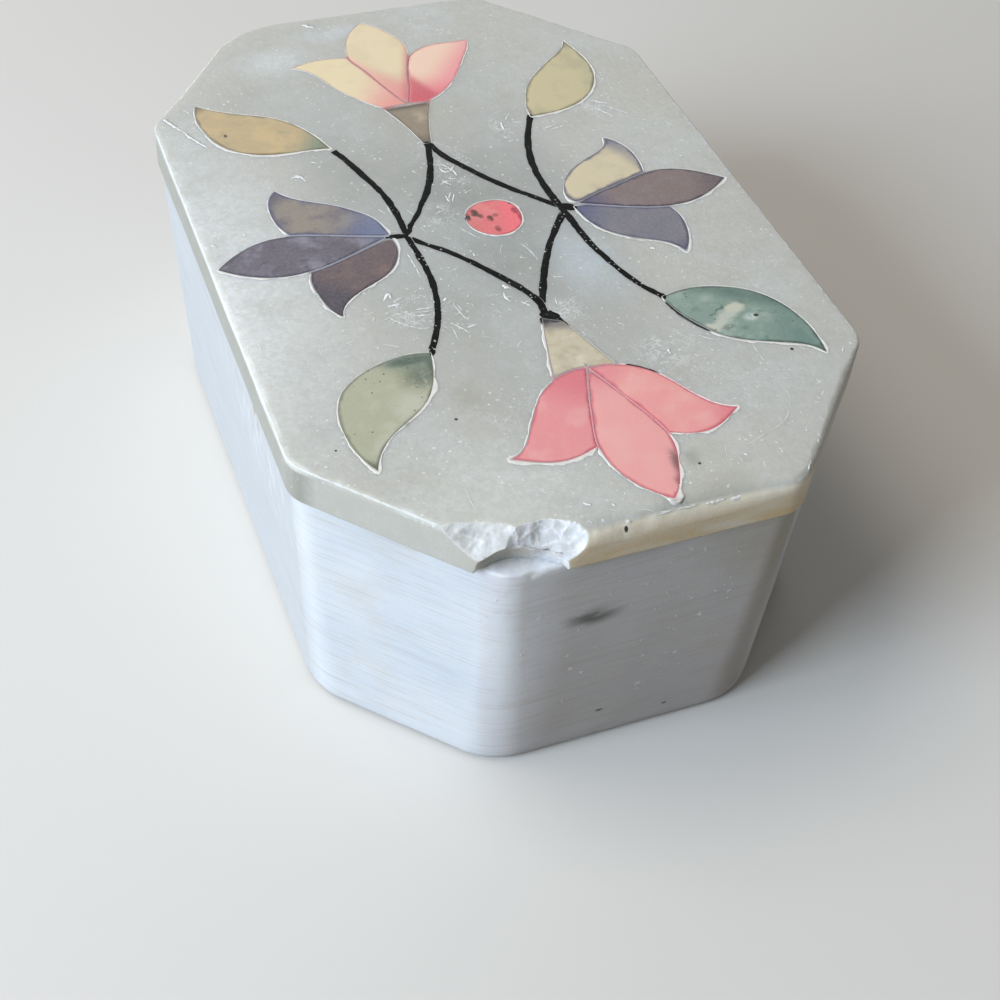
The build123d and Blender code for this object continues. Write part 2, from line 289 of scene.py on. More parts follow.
def carried(insets, radii, heights):
    # The profile carried round the outline. Each row is the outline moved in by inset:
    # corner k goes to V - (inset + radius) * mitre, an arc of that radius goes round it,
    # and the straight sides join the arcs' ends.
    corners, normal, before, mitre, which, arc, along = path
    insets, radii, heights = (v if np.ndim(v) == 2 else np.asarray(v, float).reshape(-1, 1)
                              for v in (insets, radii, heights))
    first = np.arctan2(before[:, 1], before[:, 0])[which]
    turn = np.arccos(np.clip(np.sum(before * normal, 1), -1, 1))[which]
    angle = first + arc * turn
    ray = np.stack([np.cos(angle), np.sin(angle)], -1)
    after = (which + 1) % 8
    start = corners[which] - (insets + radii)[..., None] * mitre[which] + radii[..., None] * ray
    end = corners[after] - (insets + radii)[..., None] * mitre[after] + radii[..., None] * normal[which]
    flat = start + along[:, None] * (end - start)
    tall = np.broadcast_to((heights + 0 * insets)[..., None], (*flat.shape[:2], 1))
    return np.concatenate([flat, tall], -1)


def alongPath(values, reach):
    # One value for each side, or one for each corner where reach is 0. Side values are
    # averaged over that many points each way; corner values run evenly along the sides.
    which, along = path[4], path[6]
    values = np.array(values, float)
    if reach == 0:
        share = along if values.ndim == 1 else along[:, None]
        return values[which] * (1 - share) + values[(which + 1) % 8] * share
    return sum(np.roll(values[which], k) for k in range(-reach, reach + 1)) / (2 * reach + 1)


def shrunk(row, shares):
    # The row drawn in to the middle, at each of those shares of its size
    grid = row[None] * np.asarray(shares)[:, None, None]
    grid[..., 2] = row[:, 2]
    return grid


def carve(points, flakes):
    # Points inside a flake's ball go straight out from its centre to its skin. The skin
    # is roughened by noise, and stepped by ridges where the noise crosses its middle.
    # Also gives how frosted the broken surface is at each point, and 0 off it.
    broken = np.zeros(points.shape[:-1])
    for centre, radius, seed, unevenness, frost in flakes:
        ray = points - np.array(centre)
        reach = np.linalg.norm(ray, axis=-1)
        onSkin = np.array(centre) + ray * (radius / np.maximum(reach, 1e-6))[..., None]
        ridges = 1 - np.abs(2 * lattice(onSkin, 1.7, seed + 5) - 1)
        skin = radius + unevenness * (rough(onSkin, 2.2, seed, 4) * 1.2 - 0.45 * ridges**3)
        inside = reach < skin
        broken = np.where(inside, frost, broken)
        onto = np.array(centre) + ray * (skin / np.maximum(reach, 1e-6))[..., None]
        points = np.where(inside[..., None], onto, points)
    return points, broken


lidLook = {
    "top": 38.96,           # the stones stand 0.04 mm above it
    "under": 34.0,
    # Radius of each corner, from the right-hand front one round
    "cornerRadius": [4.0, 4.0, 4.0, 13.0, 4.0, 4.0, 4.0, 4.0],
    # Rounding of the top edge in mm, by side: right, back right, back, back left, left,
    # front left, front, front right
    "arris": [0.26, 0.3, 0.5, 0.4, 0.18, 0.22, 2.3, 0.8],
    # How far the slab, sawn by hand, runs past or short of square at each corner in mm
    "askew": [(0.1, 0.0), (0.3, 0.1), (0.1, 0.9), (-0.4, 1.0),
              (0.0, -0.7), (-0.2, 0.0), (0.0, 0.0), (0.0, 0.0)],
    "plugInset": 6.6,
    "plugDepth": 2.5,
    "wear": 0.15,           # how deep the top edge is rubbed away
    "sink": 0.03,           # how deep the rubbed top dips
    "sideSwell": 0.08,      # how far the sawn sides stray from flat
    # Width of the white line along the worn edge in mm, by side: bruised stone, and on the right and back
    # right, which face away from the lamps, a painted highlight too
    "chalk": [0.28, 0.24, 0.08, 0.12, 0.05, 0.1, 0.03, 0.14],
    # Broken off: centre and radius, seed, unevenness and how frosted
    "flakes": [((-22.1, -55.6, 47.2), 14.35, 3, 0.3, 0.4), ((-15.6, -52.0, 33.5), 6.0, 29, 0.3, 0.1),
               ((-13.8, -51.5, 33.5), 4.9, 31, 0.3, 1.0), ((-10.1, -49.8, 40.3), 2.8, 11, 0.2, 0.45),
               ((-12.9, -53.6, 41.0), 7.6, 17, 0.3, 1.0)],
}


def lidSink(flat):
    # How far the rubbed top lies below its plane, by a slow noise
    return lidLook["sink"] * np.clip(rough(atZero(flat), 9.0, 71, 2) + 0.5, 0, 1)


def lidFall(flat):
    # For points on the top: how far inside the outline they lie, and how far the rounded
    # edge has fallen there: r - (r^2 - (r - d)^2)^0.5 at d inside a side rounded by r
    corners, normal = path[0], path[1]
    inside = np.sum(normal * (corners - flat[..., None, :]), -1)
    r = np.array(lidLook["arris"])
    fall = (r - np.sqrt(r**2 - np.clip(r - inside, 0, r)**2)).max(-1)
    return inside.min(-1), fall


def lidSurface(look):
    # Rows from the middle of the top out to its edge, round the worn edge, down the
    # side, and back in under the lid, over the plug, to the middle
    top, under = look["top"], look["under"]
    corner, arris = alongPath(look["cornerRadius"], 0), alongPath(look["arris"], 12)
    # Insets of the rows from the outline: wide and even, then closer towards the edge
    wide = np.arange(8.0, 4.6, -0.4)[:, None] + 0 * arris
    close = arris + np.array([2.1, 1.9, 1.7, 1.5, 1.3, 1.1, 0.9, 0.75, 0.6, 0.45, 0.3, 0.15, 0.06])[:, None]
    between = wide[-1] + (close[0] - wide[-1]) * np.linspace(0, 1, 10)[1:-1, None]
    level = np.concatenate([wide, between, close])
    quarter = np.radians(np.linspace(0, 90, 12))[:, None]
    down = np.linspace(0, 1, 27)[1:, None]
    sides = (top - arris) * (1 - down) + (under + 0.3) * down
    low = np.array([0.0, 0.1, 0.3, 0.8, 1.8, 3.0, 4.4, 5.8])[:, None] + 0 * arris
    lowRise = np.array([0.2, 0.05, 0, 0, 0, 0, 0, 0])[:, None]
    insets = np.concatenate([level, arris - arris * np.sin(quarter), 0 * sides, low])
    heights = np.concatenate([0 * level + top, top - arris + arris * np.cos(quarter), sides,
                              0 * low + under + lowRise])
    outer = carried(insets, np.maximum(corner - insets, 1.5), heights)
    # The plug: straight down, then rounded by half a millimetre to its flat underside
    p, foot = look["plugInset"], under - look["plugDepth"]
    plugInsets = [p, p, p, p + 0.15, p + 0.5, p + 1.5]
    plugHeights = [under, under - 1, foot + 0.5, foot + 0.15, foot, foot]
    plug = carried(plugInsets, [3.5, 3.5, 3.5, 3.3, 3.0, 2.5], plugHeights)
    shares = np.linspace(0.02, 1, 26)[:-1]
    grid = np.concatenate([shrunk(outer[0], shares), outer, plug, shrunk(plug[-1], [0.8, 0.5, 0.2, 0.02])])
    # Wear: the top edge goes inwards and down by a noise that changes along it. "edge" is
    # the distance along the profile from the middle of that edge's rounding, in mm.
    columns = len(arris)
    inset = np.concatenate([9.0 + np.zeros((len(shares), columns)), insets, 9.0 + np.zeros((10, columns))])
    tall = grid[..., 2]
    grid[..., :2] += ramp(-inset, -8.5, -2.5)[..., None] * alongPath(look["askew"], 0)
    atEdge = ramp(-inset, -0.5 - arris, -0.1 - 0.4 * arris) * (tall > under + 1)
    atEdge *= ramp(tall, top - 0.4 - arris, top - 0.4 * arris)
    flat = grid.copy()
    flat[..., 2] = 0
    ragged = np.clip(0.45 + 0.9 * rough(flat, 1.9, 41, 4) + 0.4 * rough(flat, 14, 47, 2), 0, 1.3)
    frontLeft = ramp(-(grid[..., 0] + grid[..., 1]), 20, 62)
    depth = look["wear"] * atEdge * ragged * (0.55 + 0.75 * frontLeft)
    inwards = -grid[..., :2] / np.linalg.norm(grid[..., :2], axis=-1, keepdims=True)
    grid[..., :2] += inwards * depth[..., None]
    grid[..., 2] -= 0.7 * depth
    half = np.broadcast_to(arris * math.pi / 4, inset.shape)
    onArc = np.abs(arris * np.arccos(np.clip((arris - inset) / arris, -1, 1)) - half)
    edge = np.where(tall > top - arris, onArc, half + top - arris - tall)
    edge = np.where(tall > top - 1e-6, half + inset - arris, edge)
    edge = np.where(tall > under + 0.3, np.clip(edge, 0, 3), 3)
    chalk = alongPath(look["chalk"], 8) * (0.5 + ragged)
    # The sawn sides and the rubbed top aren't quite flat
    onSide = (np.abs(inset) < 1e-6) & (tall < top - 0.1 - arris)
    swell = look["sideSwell"] * np.clip(rough(grid, 7.0, 61, 3) + 0.4, 0, 1)
    grid[..., :2] += inwards * (onSide * swell)[..., None]
    grid[..., 2] -= np.where(tall > top - 0.01, lidSink(grid[..., :2]), 0)
    grid, broken = carve(grid, look["flakes"])
    grid[..., 2] = np.minimum(grid[..., 2], top)
    return surface("lidSlab", grid, "capped", {"edge": edge, "chalk": chalk, "broken": broken})


bodyLook = {
    "height": 34.0,
    "rimInset": 0.4,
    "baseInset": 1.7,
    "rimRadius": 4.5,
    "baseRadius": 9.0,
    "askew": (0.6, 0.35),   # how far the chipped corner stands off at the rim, half that at the base
    "underArris": 1.2,
    "wall": 6.0,
    "floor": 6.0,
    "floorFillet": 2.0,
    "swell": 0.16,          # how far the rubbed faces stray from flat
    "rimWear": 0.16,        # how deep the rim's edge is worn
    "flakes": [((-12.9, -52.0, 35.5), 3.9, 53, 0.5, 1.0)],
}


def bodySurface(look):
    # Rows from the middle of the underside out and up the leaning walls, over the rim,
    # down inside and in over the cavity's floor
    top, floor, wall = look["height"], look["floor"], look["wall"]
    quarter = np.radians(np.linspace(0, 90, 6))
    sides = np.concatenate([np.arange(1.9, top - 6, 0.8), np.arange(top - 6, top - 0.2, 0.35)])
    share = sides / top
    lean = look["baseInset"] + (look["rimInset"] - look["baseInset"]) * share
    turn = look["baseRadius"] + (look["rimRadius"] - look["baseRadius"]) * share
    a, b, rb = look["underArris"], look["baseInset"], look["baseRadius"]
    rim = look["rimInset"]
    insets = np.concatenate([[9.0, 5.0, b + a + 0.6], b + a - a * np.sin(quarter), lean,
                             [rim + 0.02, rim + 0.25, 1.6, 3.2, 4.8]])
    radii = np.concatenate([[2, 3, 4], np.maximum(rb - a * (1 - np.sin(quarter)), 2), turn,
                            [2.5, 2.4, 2.4, 2.6, 2.9]])
    heights = np.concatenate([[0, 0, 0], a - a * np.cos(quarter), sides, [top - 0.12, top, top, top, top]])
    outer = carried(insets, radii, heights)
    f = look["floorFillet"]
    turned = wall + f - f * np.cos(quarter)[1:]
    inward = np.concatenate([[wall - 0.2, wall], np.full(8, wall), turned, [wall + f + 3]])
    tighter = np.concatenate([[3, 3], np.full(8, 3.0), 3 - f * (1 - np.cos(quarter))[1:], [1.0]])
    downward = np.concatenate([[top, top - 0.25], np.linspace(top - 3, floor + f, 8),
                               floor + f - f * np.sin(quarter)[1:], [floor]])
    inner = carried(inward, tighter, downward)
    grid = np.concatenate([shrunk(outer[0], [0.02, 0.3, 0.65]), outer, inner,
                           shrunk(inner[-1], [0.8, 0.5, 0.2, 0.02])])
    rows = len(grid)
    corner = alongPath([look["askew"] if k == 6 else (0, 0) for k in range(8)], 0)
    out = np.zeros(rows)
    out[5:3 + len(outer)] = 1
    grid[..., :2] += (out[:, None] * (0.5 + 0.5 * grid[..., 2] / top))[..., None] * corner
    # The faces were rubbed down by hand, and swell and sink by about a tenth of a mm
    tall = grid[..., 2]
    isOuter = np.zeros((rows, 1))
    isOuter[3:3 + len(outer)] = 1
    inwards = -grid[..., :2] / np.linalg.norm(grid[..., :2], axis=-1, keepdims=True)
    swell = look["swell"] * np.clip(rough(grid, 11.0, 81, 3) + 0.45, 0, 1) * ramp(tall, 0.1, 3)
    onRim = isOuter * ramp(tall, top - 0.9, top - 0.1)
    flat = grid.copy()
    flat[..., 2] = 0
    rimWear = look["rimWear"] * onRim * np.clip(0.5 + rough(flat, 2.4, 91, 3), 0, 1)
    grid[..., :2] += inwards * (isOuter * swell + rimWear)[..., None]
    grid[..., 2] -= 0.5 * rimWear
    grid, broken = carve(grid, look["flakes"])
    grid[..., 2] = np.minimum(grid[..., 2], top)
    return surface("boxBody", grid, "capped", {"broken": broken, "rimWear": onRim})


def outlinesOf(node, height):
    # The outlines of a CAD node's level faces at that height, in mm, as arrays of points
    # in order: the loose triangles are merged and the level ones dissolved to one face
    work = bmesh.new()
    work.from_mesh(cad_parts[node].data)
    bmesh.ops.remove_doubles(work, verts=work.verts, dist=2e-6)
    level = [f for f in work.faces if all(abs(v.co.z / mm - height) < 0.004 for v in f.verts)]
    whole = bmesh.ops.dissolve_faces(work, faces=level, use_verts=False)["region"]
    found = [np.array([v.co.xy for v in f.verts]) / mm for f in whole]
    work.free()
    return found


def evenly(outline, spacing):
    # Points at equal steps along a closed outline, turning anticlockwise
    x, y = outline.T
    if np.sum(x * np.roll(y, -1) - np.roll(x, -1) * y) < 0:
        outline = outline[::-1]
    ring = np.concatenate([outline, outline[:1]])
    run = np.concatenate([[0], np.cumsum(np.linalg.norm(np.diff(ring, axis=0), axis=1))])
    steps = np.linspace(0, run[-1], int(run[-1] / spacing) + 1)[:-1]
    return np.stack([np.interp(steps, run, ring[:, 0]), np.interp(steps, run, ring[:, 1])], -1)


def outwardOf(ring):
    # Unit normals: the outline's direction, from neighbour to neighbour, turned by -90
    along = np.roll(ring, -1, 0) - np.roll(ring, 1, 0)
    along /= np.linalg.norm(along, axis=1)[:, None]
    return np.stack([along[:, 1], -along[:, 0]], -1)


def roomInside(ring, inward):
    # Radius of the largest circle inside the outline that touches it at each point:
    # the least of |d|^2 / (2 d.n) over the vectors d to all other points
    away = ring[None] - ring[:, None]
    ahead = np.einsum("ijk,ik->ij", away, inward)
    square = np.sum(away**2, -1)
    radius = np.where(ahead > 1e-6, square / np.maximum(2 * ahead, 1e-6), 1e3).min(1)
    return np.minimum(np.minimum(radius, np.roll(radius, 1)), np.roll(radius, -1))


def stoneSurface(name, ring, look, seed, full=0.92):
    # Rows: under the stone from its middle to its edge, up the side, round the ground
    # edge, and in over the top to the middle. A row set in by a mm lies limit * (1 -
    # exp(-a / limit)) inside the outline, where limit is a full share of the room inside.
    inward = -outwardOf(ring)
    limit = full * roomInside(ring, inward)[None, :, None]
    a = np.array([30, 2.0, 0.05, 0.0, 0.0, 0.0, 0.03, 0.07, 0.12, 0.2, 0.32, 0.5, 0.75, 1.1, 1.6, 2.4, 4.0,
                  7.0, 30])
    z = np.array([0, 0, 0, 0.05, 0.8, 1, 1, 1, 1, 1, 1, 1, 1, 1, 1, 1, 1, 1, 1.0])
    inset = limit * (1 - np.exp(-a[:, None, None] / limit))
    flat = ring[None] + inset * inward[None]
    far = inset[..., 0]
    low, top = look["low"], look["top"]
    # The ground edge falls away by 0.07 mm, and the rubbed face swells by a few hundredths
    edge = 0.07 * np.exp(-far / 0.07) + 0.02 * np.exp(-far / 0.5)
    solid = atZero(flat)
    face = top - edge - 0.012 * (rough(solid, 4.0, seed, 3) + 0.5)
    tall = np.where(z[:, None] < 1, low + (top - 0.12 - low) * z[:, None], face)
    solid[..., 2] = tall
    return surface(name, solid, "capped", {"rim": far})


def cementSurface(name, rings, look, seed):
    # A low ragged bead round each outline: rows go from the stone's side, over the
    # bead's crown, out to its ragged edge and back underneath, closed on themselves.
    # Beads are narrow in the joints between stones and swell at the given blobs.
    parts = []
    for number, ring in enumerate(rings):
        outward = outwardOf(ring)
        level = atZero(ring)
        ragged = rough(level, 1.1, seed + number, 4) + 0.8 * rough(level, 5.0, seed + 9 + number, 2)
        facing = 0.5 - 0.5 * outward[:, 1]
        width = look["width"] * (look["back"] + (1 - look["back"]) * facing) * (1 + 1.5 * ragged)
        for x, y, reach, extra in look["blobs"]:
            width = width + extra * np.exp(-np.sum((ring - np.array((x, y)))**2, 1) / reach**2)
        others = [other for other in rings if other is not ring]
        gap = np.full(len(ring), 9.0)
        if others:
            apart = ring[:, None] - np.concatenate(others)[None]
            gap = np.sqrt(np.sum(apart**2, -1).min(1))
        width = np.clip(np.minimum(width, 0.55 * gap), 0.05, 0.9)
        joint = 1 - ramp(gap, 0.3, 0.7)
        t = np.array([-0.05, -0.05, 0.02, 0.2, 0.45, 0.7, 0.9, 1.0, 0.95, 0.4])
        rise = np.array([0, 1, 1, 1, 1, 1, 1, 1, 0, 0.0])
        far = t[:, None] * width[None]
        crown = look["crown"] * np.sin(np.pi * np.clip(t, 0, 1)) ** 0.7
        lump = 0.02 * rough(level, 0.7, seed + 30 + number, 2)
        top = look["top"] + crown[:, None] + lump[None] * (t > 0.1)[:, None] - 0.03 * (t >= 1)[:, None]
        flat = ring[None] + far[..., None] * outward[None]
        tall = np.where(rise[:, None] > 0, np.minimum(top, look["highest"]), look["low"])
        grid = np.concatenate([flat, tall[..., None]], -1)
        parts.append(surface(name, grid, "joined",
                             {"across": np.clip(t, 0, 1)[:, None], "joint": joint[None]}))
    return merged(name, parts)


# Chalky scratches and small chips on the lid's top: the points each runs through, and
# its width; then fields of finer ones: middle, half sizes and number
marksLook = {
    "rise": 0.010,
    "broad": 1.4,
    "strokes": [
        ([(-1.4, 12.4), (-0.4, 11.8)], 0.16), ([(-1.1, 13.0), (-0.2, 11.5), (-0.1, 10.2)], 0.30),
        ([(-2.6, 9.1), (-1.8, 9.5), (-1.1, 9.4)], 0.22), ([(-1.4, 9.9), (-0.3, 9.7)], 0.16),
        ([(-7.3, 8.1), (-6.4, 8.1)], 0.12), ([(-1.9, 7.3), (-2.6, 6.0)], 0.16),
        ([(-1.6, 6.8), (-2.4, 5.4)], 0.20), ([(-0.4, 6.6), (0.8, 7.1)], 0.14),
        ([(-3.3, 0.2), (-2.5, -1.1), (-1.7, -2.3)], 0.12), ([(-5.8, -0.8), (-5.3, -1.4)], 0.10),
        ([(-8.2, 5.4), (-7.6, 4.1)], 0.14), ([(-10.8, -2.6), (-10.7, -4.8), (-10.7, -7.2)], 0.16),
        ([(-16.0, -9.9), (-15.2, -9.1), (-15.0, -9.8)], 0.40), ([(-15.9, -11.2), (-14.3, -10.9)], 0.30),
        ([(-15.1, -10.4), (-13.8, -9.9)], 0.20), ([(-16.2, -12.7), (-14.7, -12.5)], 0.16),
        ([(-16.4, -12.8), (-15.3, -14.3), (-14.0, -15.4)], 0.20),
        ([(-14.0, -15.4), (-13.3, -15.7), (-12.5, -15.7)], 0.12), ([(-13.1, -12.4), (-11.1, -12.6)], 0.20),
        ([(-13.4, -13.5), (-11.6, -13.7)], 0.26), ([(-13.6, -12.8), (-11.3, -13.1)], 0.12),
        ([(-8.9, -12.8), (-8.5, -14.2), (-8.4, -15.8)], 0.14), ([(-8.7, -13.9), (-8.0, -16.0)], 0.12),
        ([(-10.2, -15.7), (-9.4, -16.7), (-8.7, -17.9)], 0.18), ([(-10.2, -16.7), (-10.3, -18.7)], 0.12),
        ([(-8.6, -17.0), (-7.4, -16.7)], 0.42), ([(-9.7, -11.8), (-9.1, -11.6)], 0.40),
        ([(-2.3, -11.1), (-2.0, -11.6), (-1.6, -12.1)], 0.40),
        ([(-2.6, -12.4), (-2.7, -13.6), (-2.4, -14.0)], 0.36), ([(-1.4, -14.4), (-0.6, -15.5)], 0.20),
        ([(2.5, -4.5), (3.1, -6.2), (3.3, -8.2)], 0.09), ([(2.7, -14.8), (2.4, -16.1)], 0.16),
        ([(3.8, -11.3), (5.1, -11.9)], 0.10), ([(-7.3, -7.2), (-6.0, -6.8)], 0.12),
        ([(-3.4, -4.7), (-3.4, -5.3)], 0.34), ([(-6.8, 1.8), (-6.6, 1.5)], 0.20),
        ([(-4.9, 12.8), (-4.7, 12.5)], 0.22), ([(-3.6, -4.1), (-3.5, -4.5)], 0.12),
        ([(-22.4, -14.4), (-20.9, -14.2)], 0.10), ([(-23.3, -16.4), (-22.1, -15.8), (-20.6, -15.3)], 0.13),
        ([(-25.2, -15.8), (-25.2, -16.7)], 0.16), ([(-24.5, -15.8), (-24.3, -16.0)], 0.20),
        ([(-33.0, -7.3), (-31.6, -7.3)], 0.12), ([(-22.0, -16.2), (-21.4, -15.8)], 0.10),
        ([(-31.2, -12.7), (-31.1, -14.4)], 0.10), ([(-30.8, -14.5), (-30.4, -15.8)], 0.10),
        ([(-23.2, -5.5), (-23.0, -6.8)], 0.10), ([(-18.4, -11.6), (-17.6, -11.5)], 0.12),
        ([(-18.3, -12.9), (-17.8, -12.3)], 0.12), ([(-31.8, 5.4), (-31.3, 4.7)], 0.26),
        ([(-27.9, 6.1), (-27.5, 6.2)], 0.30), ([(22.1, 21.4), (23.2, 20.7), (24.3, 19.8)], 0.30),
        ([(22.3, 19.8), (23.1, 18.3), (23.9, 16.9)], 0.26),
        ([(24.0, 19.3), (25.0, 18.1), (25.9, 17.1)], 0.20), ([(14.0, 16.8), (15.5, 17.1)], 0.26),
        ([(14.9, 16.4), (17.1, 16.8)], 0.20), ([(17.0, 16.5), (18.4, 16.7)], 0.16),
        ([(9.4, 19.8), (9.2, 18.8), (9.0, 17.7)], 0.34), ([(8.4, 16.5), (8.8, 16.0)], 0.26),
        ([(11.0, 21.2), (10.0, 20.0)], 0.16), ([(10.7, 19.3), (12.0, 18.8)], 0.16),
        ([(2.5, -4.7), (3.0, -6.0), (3.1, -7.4)], 0.09), ([(17.0, -9.6), (17.5, -10.0)], 0.42),
        ([(29.9, 9.8), (30.5, 9.3)], 0.20), ([(14.8, 12.8), (16.1, 12.4)], 0.10),
        ([(29.9, 14.0), (30.4, 12.8)], 0.12), ([(26.7, 15.6), (27.7, 15.0)], 0.09),
        ([(25.5, 26.9), (25.8, 25.6)], 0.12), ([(-19.5, 15.1), (-18.5, 15.3), (-18.0, 14.2)], 0.50),
        ([(-16.3, 17.9), (-15.6, 17.5)], 0.22), ([(-13.9, 8.9), (-13.6, 8.6)], 0.24),
        ([(-1.6, 12.5), (-0.9, 11.3), (0.4, 12.4)], 0.30), ([(-2.2, 9.9), (-1.3, 8.6)], 0.20),
        ([(-2.8, 6.8), (-2.7, 5.4)], 0.24), ([(-4.9, 12.5), (-4.6, 12.2)], 0.16),
        ([(-31.4, 32.0), (-30.6, 30.3), (-29.7, 28.6)], 0.42),
        ([(-29.7, 28.6), (-28.8, 26.6), (-27.6, 24.3)], 0.36), ([(-11.3, 21.6), (-10.9, 21.0)], 0.10),
        ([(-11.4, 6.4), (-10.9, 5.3)], 0.16), ([(-10.2, 6.7), (-10.2, 4.9)], 0.14),
        ([(-8.5, 49.3), (-7.2, 47.8)], 0.60), ([(-28.5, 33.2), (-27.8, 32.3)], 0.30),
        ([(20.4, -36.1), (20.6, -37.5), (19.8, -39.1)], 0.08),
        ([(19.8, -39.1), (18.3, -40.9), (15.8, -41.9)], 0.10),
        ([(15.8, -41.9), (13.8, -42.7), (12.4, -43.0)], 0.07),
        ([(13.6, -48.6), (14.4, -48.2), (15.2, -48.7)], 0.45), ([(17.3, -48.1), (18.5, -47.6)], 0.40),
        ([(20.2, -45.1), (21.6, -44.5)], 0.34), ([(11.8, -44.1), (12.2, -44.4)], 0.24),
        ([(11.3, -26.6), (11.2, -27.6)], 0.24), ([(9.4, -28.8), (10.6, -28.6)], 0.12),
        ([(-6.7, -26.0), (-6.1, -26.3)], 0.20), ([(-4.6, -21.7), (-3.6, -20.6)], 0.10),
        ([(-4.2, -46.5), (-3.9, -46.9)], 0.20), ([(-8.7, -45.2), (-8.0, -45.8)], 0.14),
        ([(-6.7, -45.5), (-6.5, -46.1)], 0.14), ([(-1.5, -48.0), (-0.2, -48.5)], 0.10),
        ([(-0.4, -48.8), (1.8, -48.7)], 0.10), ([(2.3, -48.7), (4.3, -48.8)], 0.12),
        ([(5.2, -48.8), (7.5, -48.9)], 0.16), ([(8.0, -48.9), (9.8, -48.9)], 0.22),
        ([(10.1, -48.9), (12.1, -48.8)], 0.18), ([(10.6, -42.1), (9.8, -44.3)], 0.06),
        ([(0.0, -41.2), (0.4, -42.7)], 0.08), ([(15.4, -25.6), (16.8, -26.9)], 0.12),
        ([(20.6, -28.9), (20.6, -31.7)], 0.07), ([(15.0, -31.5), (16.0, -33.0)], 0.07),
        ([(20.7, -36.4), (22.3, -36.5)], 0.06), ([(14.0, -39.2), (15.7, -39.0)], 0.06),
        ([(30.3, -32.3), (29.7, -32.9)], 0.20), ([(-17.3, -39.9), (-17.4, -41.7), (-17.3, -43.0)], 0.10),
        ([(-10.1, -42.4), (-9.8, -42.7)], 0.18), ([(-6.9, -45.6), (-6.1, -46.0)], 0.30),
        ([(-4.1, -46.5), (-3.9, -46.8)], 0.22), ([(-8.8, -45.5), (-8.2, -45.8)], 0.16),
        ([(-4.7, -47.2), (-4.1, -47.5)], 0.12), ([(-3.5, -48.7), (-3.0, -48.8)], 0.16),
        ([(-7.2, -47.8), (-6.9, -48.2)], 0.26), ([(-0.4, -48.6), (1.3, -48.7)], 0.08),
    ],
    "fields": [((-12.6, -13.4), (4.8, 4.6), 34), ((-0.6, 11.5), (3.6, 5.0), 26),
               ((-6.5, 1.5), (2.6, 5.0), 16), ((9.4, 18.6), (2.2, 3.6), 12), ((16.0, 16.6), (3.0, 1.4), 8),
               ((23.2, 18.8), (2.4, 2.6), 10), ((-2.2, -12.0), (2.0, 4.0), 14),
               ((4.0, -20.5), (2.5, 3.5), 14), ((-8.8, -16.0), (2.6, 3.2), 14),
               ((-22.0, -14.0), (7.0, 5.0), 14), ((2.0, -10.0), (9.0, 8.0), 16),
               ((12.5, -26.0), (5.5, 5.0), 24), ((19.0, -37.0), (6.5, 7.0), 30),
               ((-4.0, -44.0), (9.0, 3.4), 26), ((9.0, -46.5), (7.0, 2.0), 18),
               ((-20.0, -33.0), (9.0, 7.0), 16), ((-24.0, 10.0), (6.0, 16.0), 14),
               ((20.0, 28.0), (8.0, 9.0), 10), ((22.0, -6.0), (7.0, 9.0), 12),
               ((-14.0, 30.0), (8.0, 10.0), 6)],
}


def marksSurface(name, look, seed):
    # Each mark is a thin lens along a curve: its half width is sin(pi s)^0.5 times a
    # noise, and it stands a hundredth of a millimetre above the lid's top
    chance = np.random.default_rng(seed)
    strokes = [(np.array(points), width * look["broad"]) for points, width in look["strokes"]]
    for middle, size, count in look["fields"]:
        for _ in range(count):
            start = np.array(middle) + chance.uniform(-1, 1, 2) * size
            turn = chance.choice((0.3, -0.9, 1.3, 2.2)) + chance.normal(0, 0.35)
            long = 0.12 + chance.exponential(0.35)
            end = start + long * np.array((math.cos(turn), math.sin(turn)))
            strokes.append((np.array((start, end)), chance.uniform(0.06, 0.16)))
    parts = []
    around = np.linspace(0, 2 * math.pi, 6, endpoint=False) + math.pi / 6
    for number, (points, width) in enumerate(strokes):
        first, last = points[0], points[-1]
        middle = (first + last) / 2 if len(points) == 2 else 2 * points[1] - (first + last) / 2
        s = np.linspace(0, 1, max(7, int(np.linalg.norm(last - first) / 0.13)))[:, None]
        line = (1 - s)**2 * first + 2 * s * (1 - s) * middle + s**2 * last
        along = np.gradient(line, axis=0)
        across = np.stack([-along[:, 1], along[:, 0]], -1) / np.linalg.norm(along, axis=1)[:, None]
        level = np.concatenate([line, np.full_like(s, number)], -1)
        line = line + across * (0.5 * width * rough(level, 0.8, seed + 1, 2))[:, None]
        # Marks at the lid's edge are drawn in to stay on it
        over = np.clip(0.45 - lidFall(line)[0], 0, None)[:, None]
        line = line - 1.2 * over * line / np.linalg.norm(line, axis=1)[:, None]
        uneven = np.clip(0.8 + 1.6 * rough(level, 0.22, seed + 2, 2), 0.15, 1.6)
        half = 0.5 * width * np.sin(math.pi * (0.01 + 0.98 * s[:, 0]))**0.5 * uneven
        flat = line[:, None] + across[:, None] * (half[:, None] * np.cos(around))[..., None]
        rise = np.sin(around) * np.where(np.sin(around) > 0, look["rise"], 0.02)
        tall = lidLook["top"] - lidSink(flat) - lidFall(flat)[1] + rise[None]
        parts.append(surface(name, np.concatenate([flat, tall[..., None]], -1), "capped", {}))
    return merged(name, parts)


